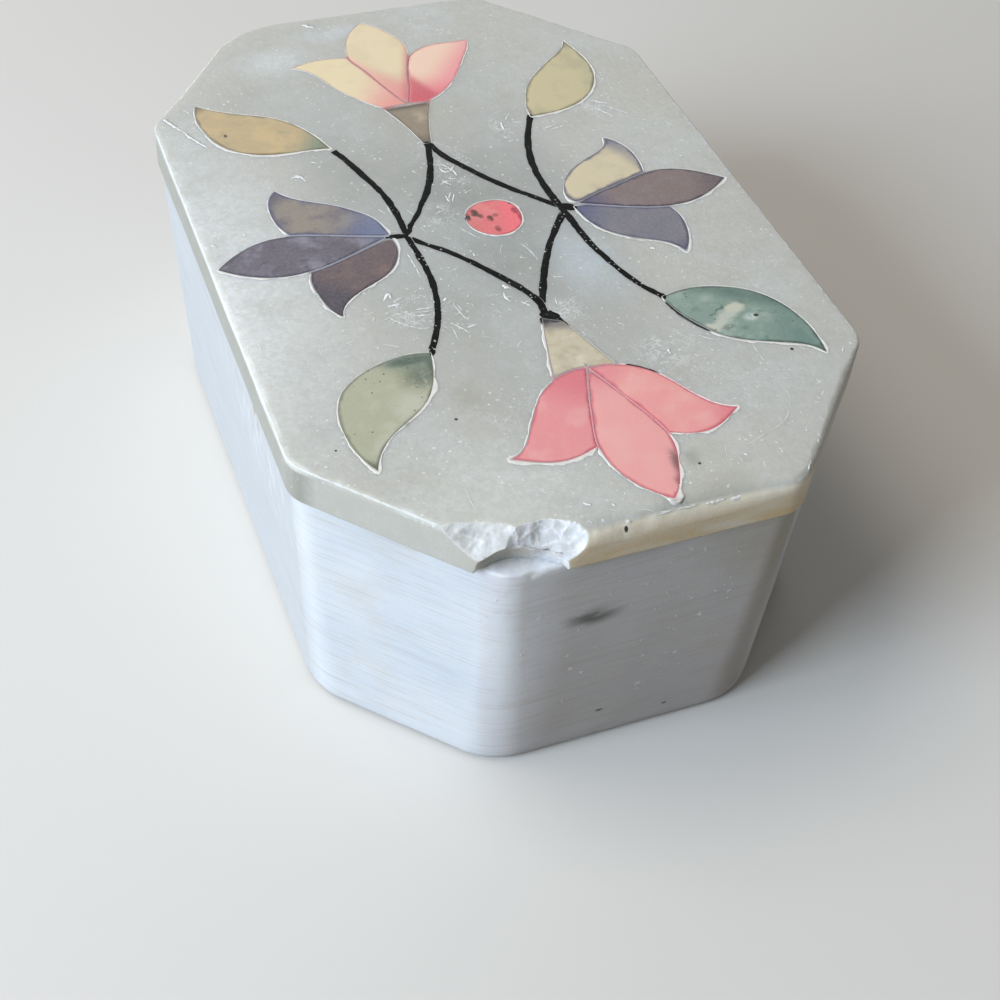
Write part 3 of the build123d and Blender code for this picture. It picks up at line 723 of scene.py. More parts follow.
lidMarble = {
    "ground": "#c9c9c2",
    "cool": "#d2d9d9",
    "dull": "#b5b4aa",
    "chalk": "#eef0ee",
    "bruiseAndHighlight": "#dcdedb",    # on the worn edge: bruising, and a painted highlight on the right-hand sides
    "edge": "#c6c5bb",
    # painted shade: the left side, which faces the window lamp, is made darker
    "leftSideShade": "#9fa096",
    # painted light: the front side, in shade, is made paler to stand in for light coming through the thin
    # stone
    "frontSideLight": "#ede6d4",
    "ochre": "#dfc38a",
    # partly the broken stone's frost, partly painted light: made paler to stand in for light glowing through
    # the chip
    "ice": "#e0e5e9",
    "wisps": "#fafcff",     # in the ice
    "dirt": "#37332d",
    # Slow changes of tone: colour, middle, half sizes and strength. The pale one over the left part is
    # painted sheen, and the dark one along the front edge at x 6.5 is painted shade.
    "veils": [("#f0f4f4", (-36.0, -2.0), (20.0, 44.0), 1.0), ("#a6a8a2", (-5.0, -4.0), (17.0, 62.0), 0.6),
              ("#9b9c94", (-13.0, 23.0), (7.0, 13.0), 0.4), ("#a9a89e", (-19.0, 33.0), (8.0, 9.0), 0.5),
              ("#9c9a8c", (6.5, -47.0), (7.5, 4.2), 0.7), ("#b8b6aa", (0.0, 30.0), (27.0, 15.0), 0.7),
              ("#8f9491", (1.5, 0.0), (17.0, 25.0), 0.95), ("#a9aca7", (-11.5, 8.0), (11.0, 38.0), 0.85),
              ("#a9aca9", (8.5, 2.0), (9.0, 46.0), 0.75), ("#b4b6b1", (4.0, -27.0), (22.0, 15.0), 0.35),
              ("#dcddd5", (-14.0, -42.0), (20.0, 13.0), 0.8), ("#dad9cf", (6.0, -44.0), (14.0, 7.0), 0.6),
              ("#cdd9df", (8.5, -10.0), (6.5, 12.0), 0.7), ("#c9c7ba", (30.0, 22.0), (8.0, 20.0), 0.5),
              ("#dfe4e4", (-14.0, 41.0), (7.0, 4.5), 0.8), ("#d6dcde", (-6.0, 46.0), (8.0, 3.0), 0.8),
              ("#98988c", (6.4, -43.0), (1.6, 2.6), 0.6), ("#aba99b", (-12.5, -27.5), (3.0, 4.0), 0.6)],
    # Rubbed patches: middle, half sizes and strength
    "patches": [((-12.6, -13.4), (5.5, 5.0), 1.0), ((-0.3, 13.5), (4.5, 7.5), 0.85),
                ((9.3, 19.0), (2.4, 4.2), 0.9), ((22.6, 19.2), (2.6, 3.4), 0.8),
                ((-4.5, 3.0), (3.5, 4.0), 0.6), ((3.0, -18.0), (3.5, 5.5), 0.8),
                ((11.5, -26.5), (5.5, 5.0), 0.8), ((0.0, -36.0), (30.0, 13.0), 0.4)],
    # Pits filled with dirt: middle and half size
    "pits": [((-3.55, -49.1, 38.0), 0.26), ((24.5, -30.9, 38.9), 0.26), ((-14.8, -30.4, 38.9), 0.22),
             ((-28.0, -31.1, 38.9), 0.16), ((6.8, -44.0, 38.9), 0.2)],
}


def lidMarbleMaterial(look):
    # White-grey calcite marble, once polished and since rubbed dull: cloudy under the
    # surface, chalky where it is scuffed or chipped, drab on its sawn edge, with painted
    # shade on the left side and painted light on the front one
    material, tree, shader, at = startMaterial("rubbedMarble", 0.42, 1.49, **{
        "Subsurface Weight": 0.6, "Subsurface Scale": 2.0 * mm, "Subsurface Radius": (1, 0.9, 0.7)})
    edge = add(tree, "Attribute", attribute_name="edge").outputs["Fac"]
    edgeLineWidth = add(tree, "Attribute", attribute_name="chalk").outputs["Fac"]
    broken = add(tree, "Attribute", attribute_name="broken").outputs["Fac"]
    apart = add(tree, "SeparateXYZ", {0: at}).outputs
    # Where a point is: on the sides, on the front one, in its lower part, on the left
    side = add(tree, "MapRange", {0: apart["Z"], 1: 38.5, 2: 38.1}).outputs[0]
    front = add(tree, "MapRange", {0: apart["Y"], 1: -46, 2: -48.5}).outputs[0]
    pastBreak = add(tree, "MapRange", {0: apart["X"], 1: -15.5, 2: -13}).outputs[0]
    onFront = together(tree, "MULTIPLY", front, pastBreak)
    lower = add(tree, "MapRange", {0: apart["Z"], 1: 38.0, 2: 35.0}).outputs[0]
    onLeft = add(tree, "MapRange", {0: apart["X"], 1: -31.0, 2: -32.3}).outputs[0]
    band = together(tree, "MULTIPLY", side, onFront, clouds(tree, at, 6, 0.3, 0.6, 11, 3, (1.5, 1.5, 0.4)),
                    lower)
    # Grain and flecks in the stone
    grain = clouds(tree, at, 0.45, 0.3, 0.7, 3, 2)
    mottle = clouds(tree, at, 0.8, 0.38, 0.62, 17, 6)
    flecks = together(tree, "MULTIPLY", specks(tree, at, 0.7, 0.2, 0.7, 18),
                      clouds(tree, at, 4, 0.3, 0.6, 19))
    # Chalk: hairlines and powder, thickest in the rubbed patches, and loose dots
    patches = [together(tree, "MULTIPLY", spot(tree, at, (*centre, 0), (*size, 0), 0.8), strength)
               for centre, size, strength in look["patches"]]
    hairs = [clouds(tree, at, 1, 0.60, 0.64, seed, 1, (1.5, 0.13, 1), (0, 0, turn))
             for seed, turn in ((1, 20), (2, -48), (3, 75))]
    fine, broad = clouds(tree, at, 0.35, 0.4, 0.6, 6, 3), clouds(tree, at, 1.7, 0.52, 0.62, 5, 5)
    powder = together(tree, "MULTIPLY", broad, fine)
    gathered = clouds(tree, at, 3.2, 0.38, 0.56, 14, 3)
    patch = together(tree, "MULTIPLY", together(tree, "MAXIMUM", *patches, 0.13), gathered)
    scuffs = together(tree, "MULTIPLY", patch, together(tree, "MAXIMUM", *hairs, powder))
    dots = together(tree, "MULTIPLY", specks(tree, at, 1.9, 0.16, 0.35, 8), clouds(tree, at, 9, 0.4, 0.62, 9))
    chalk = together(tree, "MAXIMUM", scuffs, dots)
    # The white line on the worn edge, bruising and on the right-hand sides a painted highlight, is as wide as
    # its own value times a noise of 0 to 2
    uneven = add(tree, "MapRange", {0: clouds(tree, at, 0.7, 0.3, 0.68, 10, 6), 3: 0.0, 4: 2.0}).outputs[0]
    share = together(tree, "DIVIDE", edge, together(tree, "MULTIPLY", edgeLineWidth, uneven))
    edgeBruiseAndHighlight = add(tree, "MapRange", {0: share, 1: 1.15, 2: 0.75}).outputs[0]
    pits = [spot(tree, at, centre, (size, size, 1.2), 0.4) for centre, size in look["pits"]]
    grit = together(tree, "MULTIPLY", specks(tree, at, 3.6, 0.14, 0.22, 12), 0.7)
    dirt = together(tree, "MAXIMUM", *pits, grit)
    # In the broken stone: veins along the borders of bent cells, and cloudy ice
    bent = bend(tree, at, 1.1, 1.0)
    cells = add(tree, "TexVoronoi", {"Vector": bent, "Scale": 0.5},
                feature="DISTANCE_TO_EDGE").outputs["Distance"]
    border = add(tree, "MapRange", {0: cells, 1: 0.13, 2: 0.01}).outputs[0]
    veins = together(tree, "MULTIPLY", border, clouds(tree, at, 1.5, 0.35, 0.6, 15, 2))
    ice = together(tree, "MAXIMUM", veins, clouds(tree, at, 1.6, 0.45, 0.7, 13, 6))
    wisps = together(tree, "MINIMUM", together(tree, "MULTIPLY", broken, ice, 1.2), 0.85)
    colour = coats(tree, look["ground"], [
        # Veils: tone, with painted sheen over the left part and painted shade along the front edge
        *[(colour, spot(tree, at, (*centre, 0), (*size, 0), 1.0), strength)
          for colour, centre, size, strength in look["veils"]],
        (look["cool"], clouds(tree, at, 13, 0.42, 0.68, 1, 5), 0.35),
        (look["dull"], clouds(tree, at, 5, 0.48, 0.75, 2, 6), 0.3),
        (look["dull"], mottle, 0.2),
        (look["dull"], grain, 0.2),
        (look["chalk"], flecks, 0.7),
        (look["edge"], side, 0.85),
        # Painted shade darkens the left side
        (look["leftSideShade"], side, onLeft, 0.9),
        # Painted light makes the front side paler, and the ochre band on it is kept pale for the same light
        (look["frontSideLight"], side, onFront),
        (look["ochre"], band, 0.8),
        (look["chalk"], chalk, 0.8),
        (look["bruiseAndHighlight"], edgeBruiseAndHighlight, 0.85),
        # The broken stone's frost, made paler as painted light glowing through it
        (look["ice"], broken, 0.9),
        (look["wisps"], wisps),
        (look["dirt"], dirt),
    ])
    tree.links.new(colour, shader.inputs["Base Color"])
    matt = together(tree, "MAXIMUM", chalk, edgeBruiseAndHighlight, broken)
    dull = add(tree, "MapRange", {0: matt, 3: 0.38, 4: 0.8}).outputs[0]
    tree.links.new(dull, shader.inputs["Roughness"])
    height = together(tree, "ADD", together(tree, "MULTIPLY", grain, 0.3),
                      together(tree, "MULTIPLY", chalk, 0.5),
                      together(tree, "MULTIPLY", dirt, -1.0), together(tree, "MULTIPLY", broken, ice, 1.8))
    relief(tree, shader, height, 0.035)
    return material


bodyMarble = {
    # the white stone's colour, with part of the window's cool blue light painted into it
    "ground": "#e5ecf2",
    "cool": "#d8e2ec",
    "warm": "#d8d6cf",
    "powder": "#f2f4f6",
    # painted shade: greys the left wall, which the window lamp lights strongly
    "leftWallShade": "#c3c8cc",
    "shaded": "#bfb9b4",    # painted shade on the front, deeper lower down
    "darkWarmTop": "#a79c80",     # darker and warmer at the right-hand top of the front
    "pale": "#f1f3f9",      # painted light on the front beside the knocked corner, standing in for light that comes through the stone from the lit face
    "cornerPaler": "#f2faff",      # paler and bluer, in clouds, on the corner itself
    "stain": "#4a4846",
    "rust": "#a08a58",
    "nicks": "#f7f8f9",
    "marks": "#55504a",
    # Where knocks left nicks: middle, half sizes and softness
    "knocked": [((4.6, -49, 26), (3.5, 4, 5), 0.6), ((-16.4, -48, 27), (3.0, 4, 6.5), 0.6),
                ((11.5, -49, 24.5), (5, 4, 6), 0.6), ((-10.5, -49, 25), (5, 4, 7), 0.9),
                ((0, -49, 20), (20, 4, 16), 0.5)],
}


def bodyMarbleMaterial(look):
    # The same marble, sanded and never polished: matt and powdery, with close rubbing
    # marks that run level round the walls
    material, tree, shader, at = startMaterial("sandedMarble", 0.72, 1.49, **{
        "Subsurface Weight": 0.45, "Subsurface Scale": 3.0 * mm, "Subsurface Radius": (1, 0.9, 0.7)})
    broken = add(tree, "Attribute", attribute_name="broken").outputs["Fac"]
    rimWear = add(tree, "Attribute", attribute_name="rimWear").outputs["Fac"]
    rubbed = clouds(tree, at, 1, 0.35, 0.65, 1, 3, (6, 6, 0.22), (5, -4, 0))
    scoured = clouds(tree, at, 1, 0.5, 0.66, 15, 4, (9, 9, 0.3), (3, -3, 0))
    fine = clouds(tree, at, 0.3, 0.3, 0.7, 2, 2)
    # Bruises: small pale blots, their outlines bent by noise, gathered where knocks fell
    bent = bend(tree, at, 0.4, 1.2)
    knocked = together(tree, "MAXIMUM", *[spot(tree, at, *place) for place in look["knocked"]])
    blots = together(tree, "MAXIMUM", specks(tree, bent, 1.5, 0.5, 0.5, 5),
                     specks(tree, bent, 0.8, 0.3, 0.45, 4))
    nicks = together(tree, "MULTIPLY", blots, knocked, clouds(tree, at, 2.2, 0.4, 0.52, 13, 2))
    dots = together(tree, "MULTIPLY", specks(tree, at, 6, 0.2, 0.3, 7), 0.5)
    marks = together(tree, "MAXIMUM", spot(tree, at, (-2.4, -49, 5.5), (0.7, 4, 0.35), 0.7),
                     spot(tree, at, (6.1, -49, 3.3), (0.5, 4, 0.3), 0.7), dots)
    # The left side and the front, both with painted shade, which deepens towards the base on the front
    apart = add(tree, "SeparateXYZ", {0: at}).outputs
    left = add(tree, "MapRange", {0: apart["X"], 1: -29, 2: -31}).outputs[0]
    pastCut = add(tree, "MapRange", {0: apart["Y"], 1: -31.5, 2: -29}).outputs[0]
    front = add(tree, "MapRange", {0: apart["Y"], 1: -46.2, 2: -47.8}).outputs[0]
    low = add(tree, "MapRange", {0: apart["Z"], 1: 32, 2: 4, 3: 0.55, 4: 0.9}).outputs[0]
    colour = coats(tree, look["ground"], [
        (look["cool"], clouds(tree, at, 15, 0.4, 0.7, 10, 3)),
        (look["warm"], clouds(tree, at, 10, 0.5, 0.72, 11, 4), 0.45), (look["powder"], rubbed, 0.32),
        # The left wall greyed and the front darkened towards the base are painted shade
        (look["warm"], fine, 0.12), (look["leftWallShade"], left, pastCut, 0.85), (look["shaded"], front, low, 0.8),
        (look["darkWarmTop"], spot(tree, at, (15, -49, 30), (12, 4, 12), 1.0), 0.4),
        # The pale spot beside the corner is painted light
        (look["pale"], spot(tree, at, (-14.5, -49, 18), (7.5, 4, 40), 0.8)), (look["rust"], scoured, 0.14),
        (look["powder"], clouds(tree, at, 1, 0.5, 0.66, 9, 3, (0.5, 0.5, 5)),
         spot(tree, at, (-33, -14, 26), (3, 26, 9), 0.8), 0.6, 0.8),
        (look["rust"], spot(tree, at, (-33, -14.5, 30.5), (3, 2.5, 3.5), 0.9),
         clouds(tree, at, 0.9, 0.45, 0.62, 8, 4, (1, 1, 1.8)), 0.75),
        (look["stain"], spot(tree, at, (-5.4, -49, 24.0), (4.6, 4, 2.0), 0.9),
         clouds(tree, at, 1.8, 0.2, 0.6, 6, 3, (1.6, 1.6, 0.6)), 0.85),
        (look["cornerPaler"], spot(tree, at, (-14.8, -49, 20), (4.4, 3.4, 20), 0.9),
         clouds(tree, at, 1.2, 0.3, 0.6, 16, 4, (1, 1, 2)), 0.85),
        (look["nicks"], nicks), (look["powder"], rimWear, clouds(tree, at, 0.8, 0.35, 0.6, 12, 3)),
        (look["powder"], broken), (look["marks"], marks),
    ])
    tree.links.new(colour, shader.inputs["Base Color"])
    height = together(tree, "ADD", together(tree, "MULTIPLY", rubbed, 0.6),
                      together(tree, "MULTIPLY", fine, 0.15),
                      together(tree, "MULTIPLY", nicks, 4.0))
    relief(tree, shader, height, 0.025)
    return material


def cementMaterial(look):
    # White lime cement, rubbed down with the stones: chalky and full of tiny holes,
    # with dirt caught against the stones
    material, tree, shader, at = startMaterial(look["name"], 0.85, 1.5)
    across = add(tree, "Attribute", attribute_name="across").outputs["Fac"]
    joint = add(tree, "Attribute", attribute_name="joint").outputs["Fac"]
    inner = add(tree, "MapRange", {0: across, 1: 0.35, 2: 0.0}).outputs[0]
    holes = specks(tree, at, 0.5, 0.09, 0.4, 3)
    colour = coats(tree, look["ground"], [
        (look["dull"], clouds(tree, at, 0.8, 0.4, 0.65, 1, 4), 0.5),
        (look["joint"], inner, 0.5),
        (look["joint"], joint, 0.95),
        (look["dirt"], clouds(tree, at, 3.0, 0.6, 0.72, 2, 4), 0.6),
        (look["dirt"], holes, 0.6),
        *[(colour, stroke(tree, at, start, end, width)) for colour, start, end, width in look["lines"]],
    ])
    tree.links.new(colour, shader.inputs["Base Color"])
    relief(tree, shader, together(tree, "MULTIPLY", holes, -1.0), 0.03)
    return material


blackMarble = {"ground": "#0a0b0b", "cloud": "#1e201f", "edge": "#34352f", "fleck": "#c9cac4"}


def blackStoneMaterial(look):
    # Black marble cut in thin strips: rubbed to a dull shine, with small pale flecks that
    # thin out towards the back
    material, tree, shader, at = startMaterial("blackMarble", 0.55, 1.45, **{"Specular IOR Level": 0.15})
    rim = add(tree, "Attribute", attribute_name="rim").outputs["Fac"]
    edge = add(tree, "MapRange", {0: rim, 1: 0.16, 2: 0.0}).outputs[0]
    apart = add(tree, "SeparateXYZ", {0: at}).outputs
    fleckField = add(tree, "MapRange", {0: apart["Y"], 1: 8, 2: -6, 3: 0.1, 4: 0.8}).outputs[0]
    colour = coats(tree, look["ground"], [
        (look["cloud"], clouds(tree, at, 1.1, 0.45, 0.7, 2, 3), 0.5), (look["edge"], edge, 0.3),
        (look["fleck"], specks(tree, at, 0.5, 0.17, 0.7, 1), fleckField),
    ])
    tree.links.new(colour, shader.inputs["Base Color"])
    relief(tree, shader, clouds(tree, at, 0.4, 0.3, 0.7, 4, 2), 0.012)
    return material


def setStoneMaterial(name, look):
    # A thin slip of translucent coloured stone, rubbed flush with the lid: even or
    # clouded in the middle, with a darker line along its edge
    material, tree, shader, at = startMaterial(name, 0.32, 1.5)
    rim = add(tree, "Attribute", attribute_name="rim").outputs["Fac"]
    patchy = clouds(tree, at, 0.9, 0.25, 0.5, 31, 4)
    bent = bend(tree, at, 1.2, 1.5)
    rimColour, width, strength = look["rim"]
    # The line at the rim is half to one and a half times its width
    waver = together(tree, "ADD", clouds(tree, at, 2.2, 0.25, 0.75, 21, 4), 0.5)
    share = together(tree, "DIVIDE", rim, together(tree, "MULTIPLY", width, waver))
    line = add(tree, "MapRange", {0: share, 1: 1, 2: 0.15, 4: strength},
               interpolation_type="SMOOTHSTEP").outputs[0]
    grain = clouds(tree, at, 0.4, 0.3, 0.7, 22, 3)
    colour = coats(tree, look["ground"], [
        *[(colour, clouds(tree, at, size, low, high, seed, 5))
          for colour, size, low, high, seed in look.get("clouds", [])],
        *[(colour, wash(tree, at, start, end), much) for colour, start, end, much in look.get("washes", [])],
        *[(colour, spot(tree, at, (*centre, 0), (*size, 0), soft), patchy, much)
          for colour, centre, size, soft, much in look.get("spots", [])],
        *[(colour, stroke(tree, bent, start, end, wide), 0.85)
          for colour, start, end, wide in look.get("lines", [])],
        (rimColour, line),
        *[(colour, specks(tree, at, size, radius, cells, seed), 0.85)
          for colour, size, radius, cells, seed in look.get("specks", [])],
        *[(colour, spot(tree, at, (*centre, 0), (*size, 0), 0.4))
          for colour, centre, size in look.get("holes", [])],
        ("#f3efe6", grain, 0.05),
    ])
    tree.links.new(colour, shader.inputs["Base Color"])
    relief(tree, shader, grain, 0.003)
    return material


# Each stone: its CAD node, the record's slot, and its colours. Rim: colour, width in mm,
# strength. Washes: colour, from, to, strength. Clouds: colour, size in mm, low, high,
# seed. Spots: colour, middle, half sizes, softness, strength. Lines: colour, from, to,
# width. Specks: colour, size of cell, radius, share, seed. Holes: colour, middle, half sizes.
stoneLooks = {
    "backLeftPetal": ("back_flower_left_petal", "peach_stone", {
        "ground": "#f1dfb5", "rim": ("#e2a896", 0.35, 0.55),
        "washes": [("#f3bfac", (-6.4, 33.0), (-2.4, 31.0), 0.85),
                   ("#f09b92", (-5.4, 30.5), (-2.5, 26.8), 0.9)],
        "clouds": [("#e8d4ad", 3.0, 0.45, 0.7, 1)]}),
    "backMiddlePetal": ("back_flower_middle_petal", "peach_stone", {
        "ground": "#efddb5", "rim": ("#e6ad9e", 0.4, 0.6),
        "washes": [("#eeac9f", (-2.2, 37.5), (-4.4, 36.0), 0.75),
                   ("#eb9892", (-0.8, 35.5), (-0.8, 28.0), 0.85),
                   ("#d9636c", (1.2, 37.0), (2.9, 36.4), 0.8)],
        "clouds": [("#e7d6af", 3.4, 0.45, 0.7, 2)]}),
    "backRightPetal": ("back_flower_right_petal", "peach_stone", {
        "ground": "#fad6bc", "rim": ("#e87a83", 0.45, 0.75),
        "washes": [("#f79da0", (5.2, 36.0), (8.6, 33.2), 0.95), ("#ea6d79", (5.6, 32.6), (2.0, 27.2), 0.9),
                   ("#cf505e", (2.0, 34.2), (0.5, 33.6), 0.8)]}),
    "backCalyx": ("back_flower_calyx", "taupe_stone", {
        "ground": "#958671", "rim": ("#685b4f", 0.45, 0.7),
        "washes": [("#453b38", (0.0, 25.2), (0.0, 26.5), 0.9), ("#5d5148", (-0.9, 20.4), (-1.2, 18.0), 0.75)],
        "spots": [("#b6a78d", (-0.3, 23.6), (1.4, 2.2), 0.9, 0.8)]}),
    "frontLeftPetal": ("front_flower_left_petal", "pink_stone", {
        "ground": "#f0999a", "rim": ("#c65266", 0.42, 0.85),
        "washes": [("#e2727f", (-4.4, -33.0), (-0.8, -28.2), 0.75)],
        "clouds": [("#f3a9a6", 3.2, 0.45, 0.72, 4)],
        "specks": [("#8c4a50", 2.4, 0.1, 0.3, 4)]}),
    "frontMiddlePetal": ("front_flower_middle_petal", "pink_stone", {
        "ground": "#f5aba6", "rim": ("#cd5a6d", 0.45, 0.85),
        "washes": [("#ea868f", (1.2, -33.0), (1.5, -28.2), 0.7)],
        "clouds": [("#f6b2ac", 3.6, 0.42, 0.7, 5)],
        "spots": [("#8a6266", (4.7, -44.4), (1.2, 4.2), 0.7, 0.75),
                  ("#6d5350", (4.9, -43.4), (0.9, 2.6), 0.8, 0.75),
                  ("#6d5350", (3.8, -45.8), (0.9, 1.4), 0.8, 0.7)],
        "specks": [("#94545a", 2.6, 0.09, 0.25, 5)]}),
    "frontRightPetal": ("front_flower_right_petal", "pink_stone", {
        "ground": "#f4a29e", "rim": ("#ce586b", 0.45, 0.85),
        "washes": [("#e97d87", (10.5, -36.2), (13.8, -37.4), 0.8),
                   ("#ea8890", (4.2, -31.0), (2.2, -28.4), 0.6)],
        "clouds": [("#f6b0a9", 2.8, 0.42, 0.68, 6)],
        "specks": [("#94545a", 3.0, 0.08, 0.2, 6)]}),
    "frontCalyx": ("front_flower_calyx", "taupe_stone", {
        "ground": "#d0c7ac", "rim": ("#aca28d", 0.3, 0.5),
        "washes": [("#6a646a", (0.5, -20.9), (0.8, -19.3), 0.8),
                   ("#151414", (0.7, -19.4), (0.1, -18.3), 1.0)],
        "clouds": [("#c3b59a", 1.2, 0.4, 0.7, 7), ("#ddd3ba", 2.0, 0.5, 0.72, 27)],
        "holes": [("#1a1919", (0.0, -18.35), (0.75, 0.6)), ("#2e2b2d", (1.2, -18.75), (0.9, 0.45))],
        "specks": [("#6b665c", 0.8, 0.08, 0.35, 7)]}),
    "leftUpperPetal": ("left_flower_upper_petal", "violet_stone", {
        "ground": "#958b80", "rim": ("#525070", 0.6, 0.85),
        "washes": [("#66759a", (-17.5, 7.0), (-12.0, 3.2), 0.85),
                   ("#4d4a63", (-20.6, 11.0), (-22.4, 13.0), 0.8)],
        "clouds": [("#716a72", 3.0, 0.4, 0.7, 8)],
        "specks": [("#2f2b2e", 3.4, 0.12, 0.2, 8)]}),
    "leftMiddlePetal": ("left_flower_middle_petal", "violet_stone", {
        "ground": "#67626e", "rim": ("#353347", 0.5, 0.8),
        "washes": [("#566b8e", (-15.6, 0.8), (-12.2, 1.0), 0.9)],
        "clouds": [("#8b8794", 2.6, 0.46, 0.72, 9), ("#57525f", 1.6, 0.5, 0.75, 10)]}),
    "leftLowerPetal": ("left_flower_lower_petal", "violet_stone", {
        "ground": "#655457", "rim": ("#33293a", 0.5, 0.85),
        "washes": [("#443f4e", (-19.2, -5.0), (-21.4, -7.6), 0.85)],
        "clouds": [("#7a6560", 2.4, 0.46, 0.72, 11)],
        "specks": [("#2a2226", 1.7, 0.11, 0.35, 11)]}),
    "rightUpperPetal": ("right_flower_upper_petal", "cream_stone", {
        "ground": "#dacdab", "rim": ("#55526a", 0.6, 0.95),
        "washes": [("#67708c", (19.6, 9.4), (20.9, 12.4), 0.95), ("#8d8a90", (20.6, 7.0), (22.6, 7.6), 0.7)],
        "clouds": [("#cdc0a3", 3.0, 0.45, 0.7, 12)]}),
    "rightMiddlePetal": ("right_flower_middle_petal", "violet_stone", {
        "ground": "#7f6e6b", "rim": ("#382d3b", 0.6, 0.95),
        "washes": [("#454a78", (17.5, 1.5), (12.6, 0.9), 0.85), ("#5a4d55", (26.5, 1.5), (31.0, 0.8), 0.75)],
        "clouds": [("#857675", 2.4, 0.45, 0.72, 13)]}),
    "rightLowerPetal": ("right_flower_lower_petal", "violet_stone", {
        "ground": "#777681", "rim": ("#40405f", 0.6, 0.9),
        "washes": [("#55597f", (15.4, -2.2), (12.0, 0.0), 0.85),
                   ("#4f4f6a", (20.4, -8.6), (20.8, -11.4), 0.8)],
        "clouds": [("#7f7b84", 2.8, 0.42, 0.7, 14)]}),
    "backLeftLeaf": ("back_left_leaf", "olive_stone", {
        "ground": "#c5af85", "rim": ("#685e45", 0.45, 0.85),
        "washes": [("#7d8d79", (-17.6, 23.0), (-14.0, 20.6), 0.95),
                   ("#6d6352", (-25.6, 31.8), (-26.8, 33.4), 0.8)],
        "clouds": [("#d2b887", 3.2, 0.45, 0.7, 15), ("#b5a681", 1.6, 0.5, 0.75, 16)],
        "holes": [("#5b4a33", (-24.9, 26.1), (0.28, 0.4))]}),
    "backRightLeaf": ("back_right_leaf", "olive_stone", {
        "ground": "#cfc398", "rim": ("#6b6549", 0.5, 0.85),
        "washes": [("#6f7364", (24.1, 33.4), (24.6, 35.4), 0.85),
                   ("#b4b28f", (22.0, 26.0), (25.2, 25.0), 0.6)],
        "clouds": [("#c1b690", 2.6, 0.45, 0.7, 17)],
        "specks": [("#8a7f5c", 3.0, 0.12, 0.25, 17)]}),
    "frontLeftLeaf": ("front_left_leaf", "grey_green_stone", {
        "ground": "#b4b59a", "rim": ("#5c614b", 0.42, 0.75),
        "washes": [("#5c7267", (-20.0, -22.0), (-18.0, -19.6), 0.7),
                   ("#5d6152", (-24.0, -33.8), (-24.7, -34.8), 0.85)],
        "clouds": [("#c1c2ab", 2.6, 0.45, 0.7, 18)],
        "spots": [("#5b5c45", (-16.8, -23.4), (3.0, 2.6), 0.9, 0.5),
                  ("#465b50", (-16.6, -20.3), (4.2, 1.1), 0.8, 0.85),
                  ("#465b50", (-14.4, -22.0), (0.9, 2.6), 0.8, 0.8),
                  ("#586b5e", (-16.0, -23.4), (2.4, 2.4), 1.0, 0.6),
                  ("#d3d2c2", (-18.4, -26.8), (3.6, 3.2), 1.0, 0.5)],
        "specks": [("#43523f", 0.7, 0.17, 0.45, 18), ("#5a6050", 1.8, 0.26, 0.5, 19)]}),
    "frontRightLeaf": ("front_right_leaf", "teal_stone", {
        "ground": "#849c90", "rim": ("#33493f", 0.5, 0.95),
        "washes": [("#8fa298", (20.5, -23.5), (17.0, -22.5), 0.3),
                   ("#62827a", (22.5, -26.0), (27.0, -28.5), 0.65),
                   ("#4f6d63", (19.0, -20.2), (20.0, -18.6), 0.7)],
        "clouds": [("#a3b4a7", 2.4, 0.45, 0.7, 20), ("#668479", 1.5, 0.52, 0.75, 21)],
        "lines": [("#c9cdbd", (17.4, -25.5), (21.6, -22.6), 2.2),
                  ("#4c685f", (18.4, -23.2), (20.4, -22.0), 0.35)],
        "spots": [("#d8cfb2", (21.5, -22.6), (1.7, 0.9), 0.6, 0.95),
                  ("#d0ccb8", (17.4, -25.2), (0.9, 1.4), 0.6, 0.9),
                  ("#d3ddd6", (22.6, -24.6), (1.3, 1.0), 0.9, 0.85),
                  ("#35504a", (19.2, -25.4), (1.3, 0.6), 0.7, 0.8)],
        "specks": [("#2f4740", 0.7, 0.17, 0.45, 22)],
        "holes": [("#1c2422", (23.3, -24.5), (0.38, 0.32))]}),
    "centreDisc": ("centre_disc", "coral_stone", {
        "ground": "#e97578", "rim": ("#c24451", 0.4, 0.75),
        "clouds": [("#ef8a88", 2.0, 0.45, 0.7, 23)],
        "washes": [("#ff727c", (1.5, 0.6), (3.2, 0.2), 0.8), ("#cf7a74", (0.6, 1.2), (-1.6, 1.6), 0.5)],
        "spots": [("#5c2a22", (0.8, 0.95), (0.5, 0.75), 0.5, 1.0),
                  ("#8f4a45", (1.6, 1.4), (0.5, 0.5), 0.7, 0.8),
                  ("#5a302a", (-0.7, 2.45), (0.65, 0.95), 0.5, 1.0),
                  ("#6b3831", (-0.2, 1.7), (0.5, 0.6), 0.6, 0.95),
                  ("#2b2022", (-1.75, 1.9), (0.45, 1.0), 0.5, 1.0),
                  ("#99393a", (1.0, -1.2), (0.5, 0.85), 0.6, 0.95),
                  ("#a82442", (4.15, 1.6), (0.6, 0.9), 0.6, 1.0),
                  ("#a82442", (4.4, 0.1), (0.45, 1.4), 0.7, 0.9)],
        "holes": [("#2a1a1a", (-1.8, 1.95), (0.45, 0.4)), ("#3a2020", (4.2, 3.2), (0.4, 0.3))]}),
}

inlayLook = {
    "low": 37.25,           # underside of the stones
    "top": 38.99,
    "level": 39.0,          # height of the CAD stones' faces, where their outlines are read
    "spacing": 0.16,        # between points along an outline
    "fuller": 0.035,        # how far a stone's face reaches past its pocket's line
    "ragged": (0.06, 0.14), # how far a strip's edge stands out, and strays from there
}

